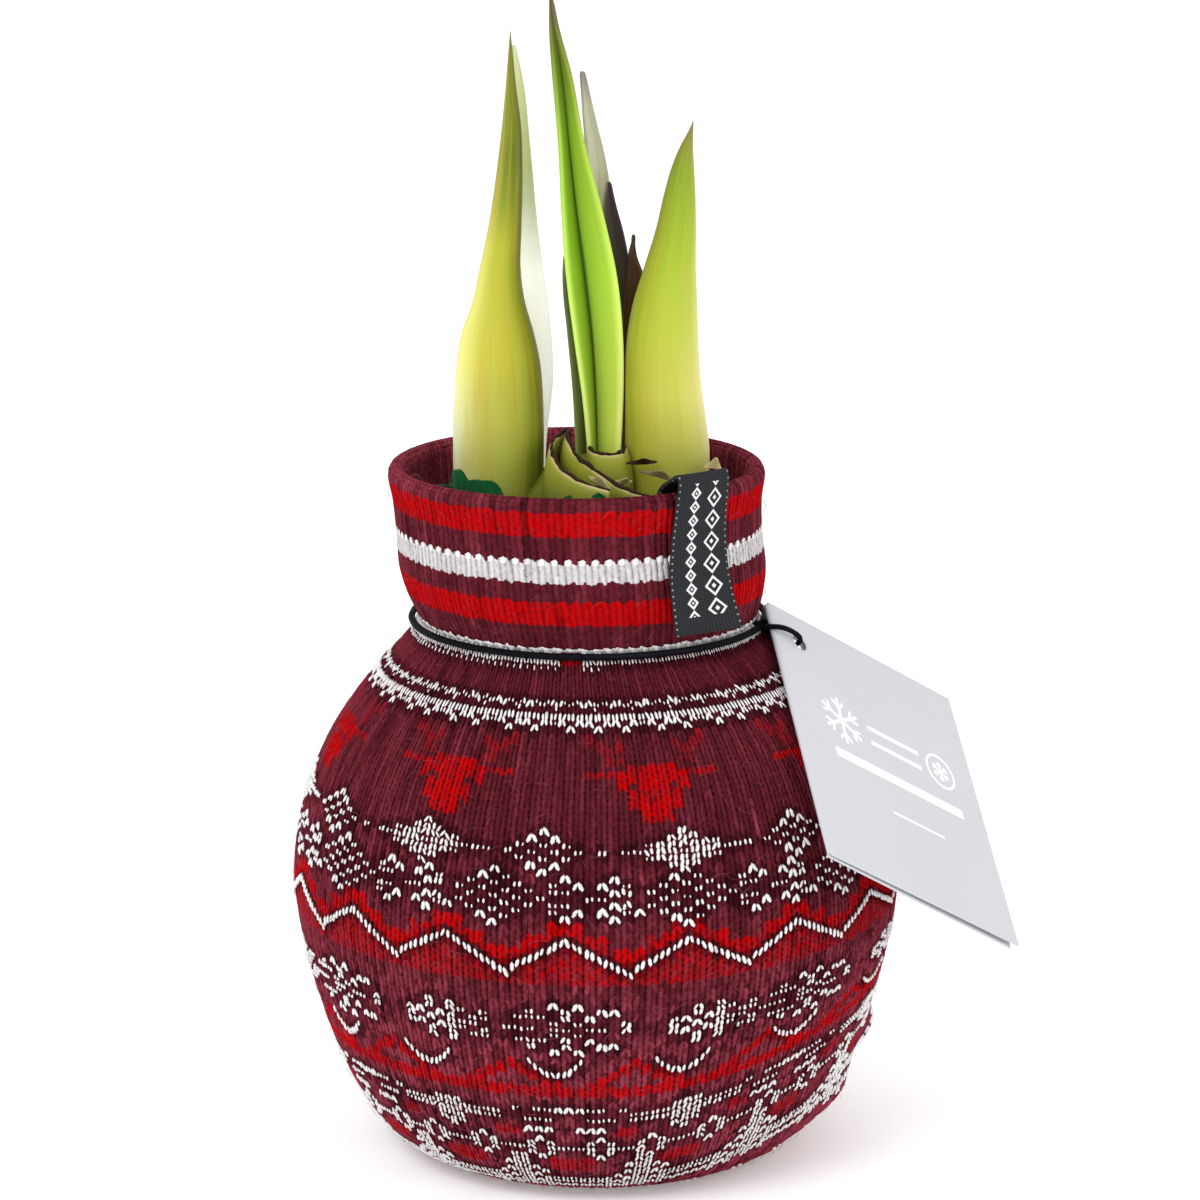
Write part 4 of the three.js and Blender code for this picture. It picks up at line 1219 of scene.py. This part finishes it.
old_scale("scale_outer", [
    [-4.6, -1.6, 116], [-6.4, -5, 115.4], [-6.9, -9, 114.4], [-6.2, -12.6, 113.2], [-4.6, -16, 112.1],
    [-2, -19, 111.2], [2.1, -21, 110.4],
], 1.6, 8, 0.25)
old_scale("scale_inner", [
    [-4.4, -1.8, 116], [-4.3, -6, 115.1], [-3.2, -9, 113.6], [-1.1, -12, 112.4], [0.9, -15, 111.5],
    [3.3, -18, 110.5], [5.6, -20, 109.9], [9, -20.6, 109],
], 1.3, 6, 0.33)
old_scale("scale_cut", [
    [-0.9, -3.6, 113.6], [-0.4, -5.8, 113.3], [1, -6.6, 113.1], [2.8, -6.7, 113.1], [4, -6, 113.4],
    [4.5, -4, 113.8],
], 1.6, 7, 0.30)
for name, route, lift, dryness in (
    ("torn_membrane", [[-1, -13.6, 110.6], [1.2, -16.2, 109.8], [3.2, -18.4, 109]], (-0.6, -0.4, 2.0), 0.45),
    ("torn_dark", [[4.6, -7.6, 111.8], [7, -8.4, 111.9], [9.4, -8.2, 112.1]], (0.2, -0.3, 1.1), 1.0),
    ("torn_brown", [[6.6, -11, 111.2], [9.4, -11.6, 110.6], [12.4, -13, 109.8]], (0.4, -0.5, 1.2), 0.85),
    ("torn_yellow", [[1.8, -12, 109.6], [3.6, -12.6, 109.6], [5.4, -12, 109.8]], (0.9, -0.4, 1.2), 0.3),
    ("torn_beige", [[16.8, -5.4, 110.6], [18.4, -6.6, 110.8], [19.6, -8, 110.4]], (0.2, -0.2, 2.0), 0.5),
):
    torn_skin(name, route, lift, dryness)
for number, (start, end, reach, high) in enumerate((
    (80, 165, 16.5, 107.6), (120, 230, 17.2, 107.2), (200, 275, 15, 108.2), (110, 200, 12, 110.2),
)):
    margin = [
        [reach * math.sin(math.radians(t)) - 2.9, -reach * math.cos(math.radians(t)), high]
        for t in np.linspace(start, end, 7)
    ]
    margin[0][2] -= 0.8
    margin[-1][2] -= 0.8
    old_scale(f"scale_rear_{number + 1}", margin, 2.2, 4, 0.24)

# ---- Shoots and leaves ----
# Fleshy straps that grow out of the neck. Each is shaped on the outline of its solid: a leaf is a
# thin channel with a rounded crease, and a shoot is a plump wedge of leaves still wrapped together.

leaf_streaks, inside, outside = group(
    "leaf_streaks",
    [("Color", "Color", None), ("Pale", "Color", None), ("Amount", "Float", 0.3), ("Blush", "Float", 0.2)],
    [("Color", "Color"), ("Height", "Float")],
)
across, up = (attribute(leaf_streaks, name) for name in ("across", "up"))
place = node(leaf_streaks, "CombineXYZ", X=across, Y=up)
veins = node(leaf_streaks, "Mapping", Vector=place.outputs[0], Scale=(7, 1.6, 1))
fine = node(leaf_streaks, "TexNoise", Vector=veins.outputs[0], Scale=3.0, Detail=5.0, Roughness=0.65)
soft = node(leaf_streaks, "MapRange", Value=fine.outputs["Fac"], i1=0.35, i2=0.75)
much = math_node(leaf_streaks, "MULTIPLY", soft.outputs[0], inside.outputs["Amount"])
clouds = node(leaf_streaks, "Mapping", Vector=place.outputs[0], Scale=(3.2, 2.4, 1))
cloudy = node(leaf_streaks, "TexNoise", Vector=clouds.outputs[0], Scale=1.0, Detail=2.0)
warm = node(leaf_streaks, "MapRange", Value=cloudy.outputs["Fac"], i1=0.45, i2=0.75)
warmed = math_node(leaf_streaks, "MULTIPLY", warm.outputs[0], inside.outputs["Blush"])
blushed = mix(leaf_streaks, warmed, inside.outputs["Color"], (0.50, 0.30, 0.035, 1))
streaked = mix(leaf_streaks, much, blushed, inside.outputs["Pale"])
leaf_streaks.links.new(streaked, outside.inputs["Color"])
leaf_streaks.links.new(fine.outputs["Fac"], outside.inputs["Height"])


def leaf_material(name, up, painted_light_across, amount=0.15, pale=(0.58, 0.66, 0.12, 1), roughness=0.45, blush=0.0):
    """A satin leaf: colours up its length, with painted light and shade across it, from its left over its
    middle to its right.
    """
    made, tree, shader = material(name, roughness, subsurface=0.05, gloss=0.12)
    base = ramp(tree, attribute(tree, "up"), up)
    across = node(tree, "MapRange", Value=attribute(tree, "across"), i1=-1.0, i2=1.0)
    lit_and_shaded = mix(tree, 1.0, base, ramp(tree, across.outputs[0], painted_light_across), "MULTIPLY")
    streaked = node(
        tree, "Group", {"node_tree": leaf_streaks}, Color=lit_and_shaded, Pale=pale, Amount=amount, Blush=blush
    )
    surface(tree, shader, *streaked.outputs, 0.05 * MM)
    return made


def levels(name):
    """Heights of a solid's rings, with each ring's left edge, deepest point, right edge and half depth."""
    rings = {}
    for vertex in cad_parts[name].data.vertices:
        rings.setdefault(round(vertex.co.z, 4), set()).add(tuple(round(c, 6) for c in vertex.co))
    rows = []
    for z, points in sorted(rings.items()):
        ring = np.array(sorted(points))
        left = ring[ring[:, 0] < ring[:, 0].min() + 0.35 * MM][:, :2].mean(0)
        right = ring[ring[:, 0] > ring[:, 0].max() - 0.35 * MM][:, :2].mean(0)
        crease = ring[ring[:, 1] > ring[:, 1].max() - 0.35 * MM][:, :2].mean(0)
        rows.append([z, *left, *crease, *right, np.ptp(ring[:, 1]) / 2])
    return np.array(rows)


def rounded(rows, heights):
    """The rings at other heights, on smooth lines through the given ones."""
    z = rows[:, 0]
    slopes = np.gradient(rows[:, 1:], z, axis=0)
    i = np.clip(np.searchsorted(z, heights) - 1, 0, len(z) - 2)
    gap = (z[i + 1] - z[i])[:, None]
    t = ((heights - z[i]) / gap[:, 0])[:, None]
    a, b = rows[i, 1:], rows[i + 1, 1:]
    return ((2 * t ** 3 - 3 * t ** 2 + 1) * a + (t ** 3 - 2 * t ** 2 + t) * gap * slopes[i]
            + (3 * t ** 2 - 2 * t ** 3) * b + (t ** 3 - t ** 2) * gap * slopes[i + 1])


def leaf(name, slot, look, thickness=0.8 * MM, ripple=0.0):
    """A channelled leaf: bent across from edge to crease to edge."""
    rows = levels(name)
    piece, across, up = grow(name + "_skin", 10, 44)
    note(piece, "across", across)
    note(piece, "up", up)
    z = rows[0, 0] + up * (rows[-1, 0] - rows[0, 0])
    ring = rounded(rows, z)
    left, crease, right = ring[:, 0:2], ring[:, 2:4], ring[:, 4:6]
    edge = np.where((across < 0)[:, None], left, right)
    bend = (abs(across) ** 1.25)[:, None]
    flat = crease + (edge - crease) * bend
    wave = ripple * np.sin(23 * up + 2 * across) * abs(across)
    moved(piece, np.column_stack([flat[:, 0], flat[:, 1] + wave, z]))
    thicken(piece, thickness, 1)
    finish_piece(piece, slot, look, name)


def shoot(name, slot, look, lap):
    """A plump shoot: round in section, with the edge of its outer leaf as a soft ledge up its front."""
    rows = levels(name)
    piece, across, up = grow(name + "_skin", 36, 56)
    z = rows[0, 0] + up * (rows[-1, 0] - rows[0, 0])
    ring = rounded(rows, z)
    middle = (ring[:, 0] + ring[:, 4]) / 2
    half = (ring[:, 4] - ring[:, 0]) / 2
    y = (rows[:, 2].mean() + rows[:, 6].mean()) / 2
    angle = across * math.pi
    ledge = np.clip((np.sin(angle) - lap) * 6, -0.5, 0.5) * (np.cos(angle) > 0)
    ledge = 0.45 * MM * ledge * np.clip(4 * (1 - up), 0, 1)
    x_out = (half - ledge * np.clip(half / (5 * MM), 0, 1)) * np.sin(angle)
    y_out = -(ring[:, 6] - ledge) * np.cos(angle)
    moved(piece, np.column_stack([middle + x_out, y + y_out, z]))
    note(piece, "across", np.sin(angle))
    note(piece, "up", up)
    bm = bmesh.new()
    bm.from_mesh(piece.data)
    bmesh.ops.remove_doubles(bm, verts=bm.verts, dist=0.02 * MM)
    bmesh.ops.holes_fill(bm, edges=[edge for edge in bm.edges if edge.is_boundary])
    bmesh.ops.recalc_face_normals(bm, faces=bm.faces)
    bm.to_mesh(piece.data)
    bm.free()
    finish_piece(piece, slot, look, name)


# Each leaf's second ramp is mostly painted light and shade: a lit edge, a shaded edge, and on the tall leaf
# a strip of painted shade in its crease.
shoot_left_look = leaf_material(
    "shoot_left_skin",
    [(0, 0.22, 0.26, 0.04), (0.12, 0.34, 0.38, 0.06), (0.24, 0.42, 0.43, 0.06),
     (0.36, 0.44, 0.42, 0.035), (0.58, 0.34, 0.36, 0.020), (0.67, 0.15, 0.195, 0.007),
     (0.76, 0.08, 0.12, 0.004), (0.88, 0.10, 0.14, 0.005), (1, 0.09, 0.10, 0.012)],
    [(0, 1.8, 1.8, 8.0), (0.12, 1.5, 1.5, 4.5), (0.3, 1.1, 1.1, 1.6), (0.55, 1, 1, 1),
     (0.78, 0.72, 0.77, 0.5), (0.92, 0.50, 0.56, 0.25), (1, 0.20, 0.26, 0.06)],
    0.28, (0.60, 0.61, 0.11, 1), blush=0.55,
)
shoot("shoot_left", "young_green", shoot_left_look, 0.7)

shoot_right_look = leaf_material(
    "shoot_right_skin",
    [(0, 0.18, 0.22, 0.02), (0.14, 0.34, 0.36, 0.05), (0.35, 0.54, 0.54, 0.09),
     (0.5, 0.42, 0.49, 0.05), (0.68, 0.30, 0.42, 0.022), (0.88, 0.17, 0.28, 0.01),
     (1, 0.20, 0.12, 0.04)],
    [(0, 0.50, 0.50, 0.1), (0.2, 0.78, 0.78, 0.35), (0.45, 0.95, 0.95, 0.85), (0.7, 1, 1, 1),
     (0.9, 1.15, 1.1, 1.8), (1, 1.5, 1.3, 4.0)],
    0.26, (0.61, 0.63, 0.13, 1), blush=0.25,
)
shoot("shoot_right", "young_green", shoot_right_look, 1.4)

leaf("leaf_tall", "leaf_green", leaf_material(
    "leaf_tall_skin",
    [(0, 0.58, 0.62, 0.11), (0.2, 0.56, 0.66, 0.09), (0.5, 0.36, 0.57, 0.04),
     (0.75, 0.22, 0.37, 0.02), (0.92, 0.10, 0.13, 0.01), (1, 0.08, 0.05, 0.03)],
    [(0, 1.3, 1.3, 2.5), (0.1, 0.7, 0.8, 0.6), (0.3, 0.36, 0.50, 0.12), (0.44, 0.05, 0.11, 0.01),
     (0.53, 0.06, 0.13, 0.01), (0.60, 0.8, 0.9, 0.8), (0.9, 1, 1, 1), (1, 1.5, 1.35, 3.0)],
), ripple=0.1 * MM)
leaf("leaf_thin", "dark_green", leaf_material(
    "leaf_thin_skin",
    [(0, 0.20, 0.25, 0.04), (0.5, 0.08, 0.12, 0.018), (1, 0.05, 0.06, 0.02)],
    [(0, 2.2, 2.0, 3.5), (0.25, 0.5, 0.5, 0.3), (0.6, 1, 1, 1), (1, 2.2, 2.0, 3.5)],
))
leaf("leaf_grey", "grey_green", leaf_material(
    "leaf_grey_skin",
    [(0, 0.20, 0.26, 0.06), (0.5, 0.24, 0.29, 0.10), (0.75, 0.54, 0.53, 0.36),
     (0.92, 0.55, 0.54, 0.40), (1, 0.30, 0.26, 0.25)],
    [(0, 0.55, 0.55, 0.5), (0.12, 1, 1, 1), (0.85, 1, 1, 1), (1, 0.7, 0.7, 0.7)],
    0.1, (0.5, 0.5, 0.36, 1), 0.55,
))
leaf("leaf_purple", "purple_brown", leaf_material(
    "leaf_purple_skin",
    [(0, 0.11, 0.10, 0.03), (0.5, 0.085, 0.072, 0.026), (1, 0.075, 0.055, 0.062)],
    [(0, 3.0, 3.2, 2.2), (0.14, 1, 1, 1), (0.8, 0.9, 0.8, 1), (1, 0.5, 0.35, 0.7)],
    0.12, (0.20, 0.17, 0.08, 1), 0.6,
))
leaf_pale_look = leaf_material(
    "leaf_pale_skin",
    [(0, 0.80, 0.82, 0.70), (0.3, 0.95, 0.95, 0.90), (0.55, 0.90, 0.92, 0.84),
     (0.75, 0.52, 0.60, 0.24), (1, 0.62, 0.68, 0.36)],
    [(0, 0.30, 0.36, 0.12), (0.22, 0.6, 0.65, 0.45), (0.42, 1, 1, 1), (1, 1, 1, 1)],
    0.3, (0.42, 0.46, 0.30, 1),
)
# Painted light: the pale leaf glows a little over its lower half, fading out before its tip.
tree = leaf_pale_look.node_tree
painted_glow = ramp(tree, attribute(tree, "up"), [
    (0, 0.55, 0.55, 0.5), (0.3, 0.95, 0.95, 0.92), (0.52, 0.9, 0.9, 0.87),
    (0.68, 0.08, 0.09, 0.05), (1, 0, 0, 0),
])
tree.links.new(painted_glow, tree.nodes["Principled BSDF"].inputs["Emission Color"])
tree.nodes["Principled BSDF"].inputs["Emission Strength"].default_value = 0.46
leaf("leaf_pale", "pale_green", leaf_pale_look)
leaf("dried_scape", "dried_brown", leaf_material(
    "dried_scape_skin",
    [(0, 0.14, 0.11, 0.04), (0.55, 0.075, 0.04, 0.02), (0.8, 0.06, 0.012, 0.016),
     (1, 0.03, 0.015, 0.03)],
    [(0, 1, 1, 1), (0.5, 0.8, 0.7, 0.7), (1, 0.6, 0.45, 0.5)],
    0.35, (0.45, 0.30, 0.12, 1), 0.8,
), ripple=0.2 * MM)
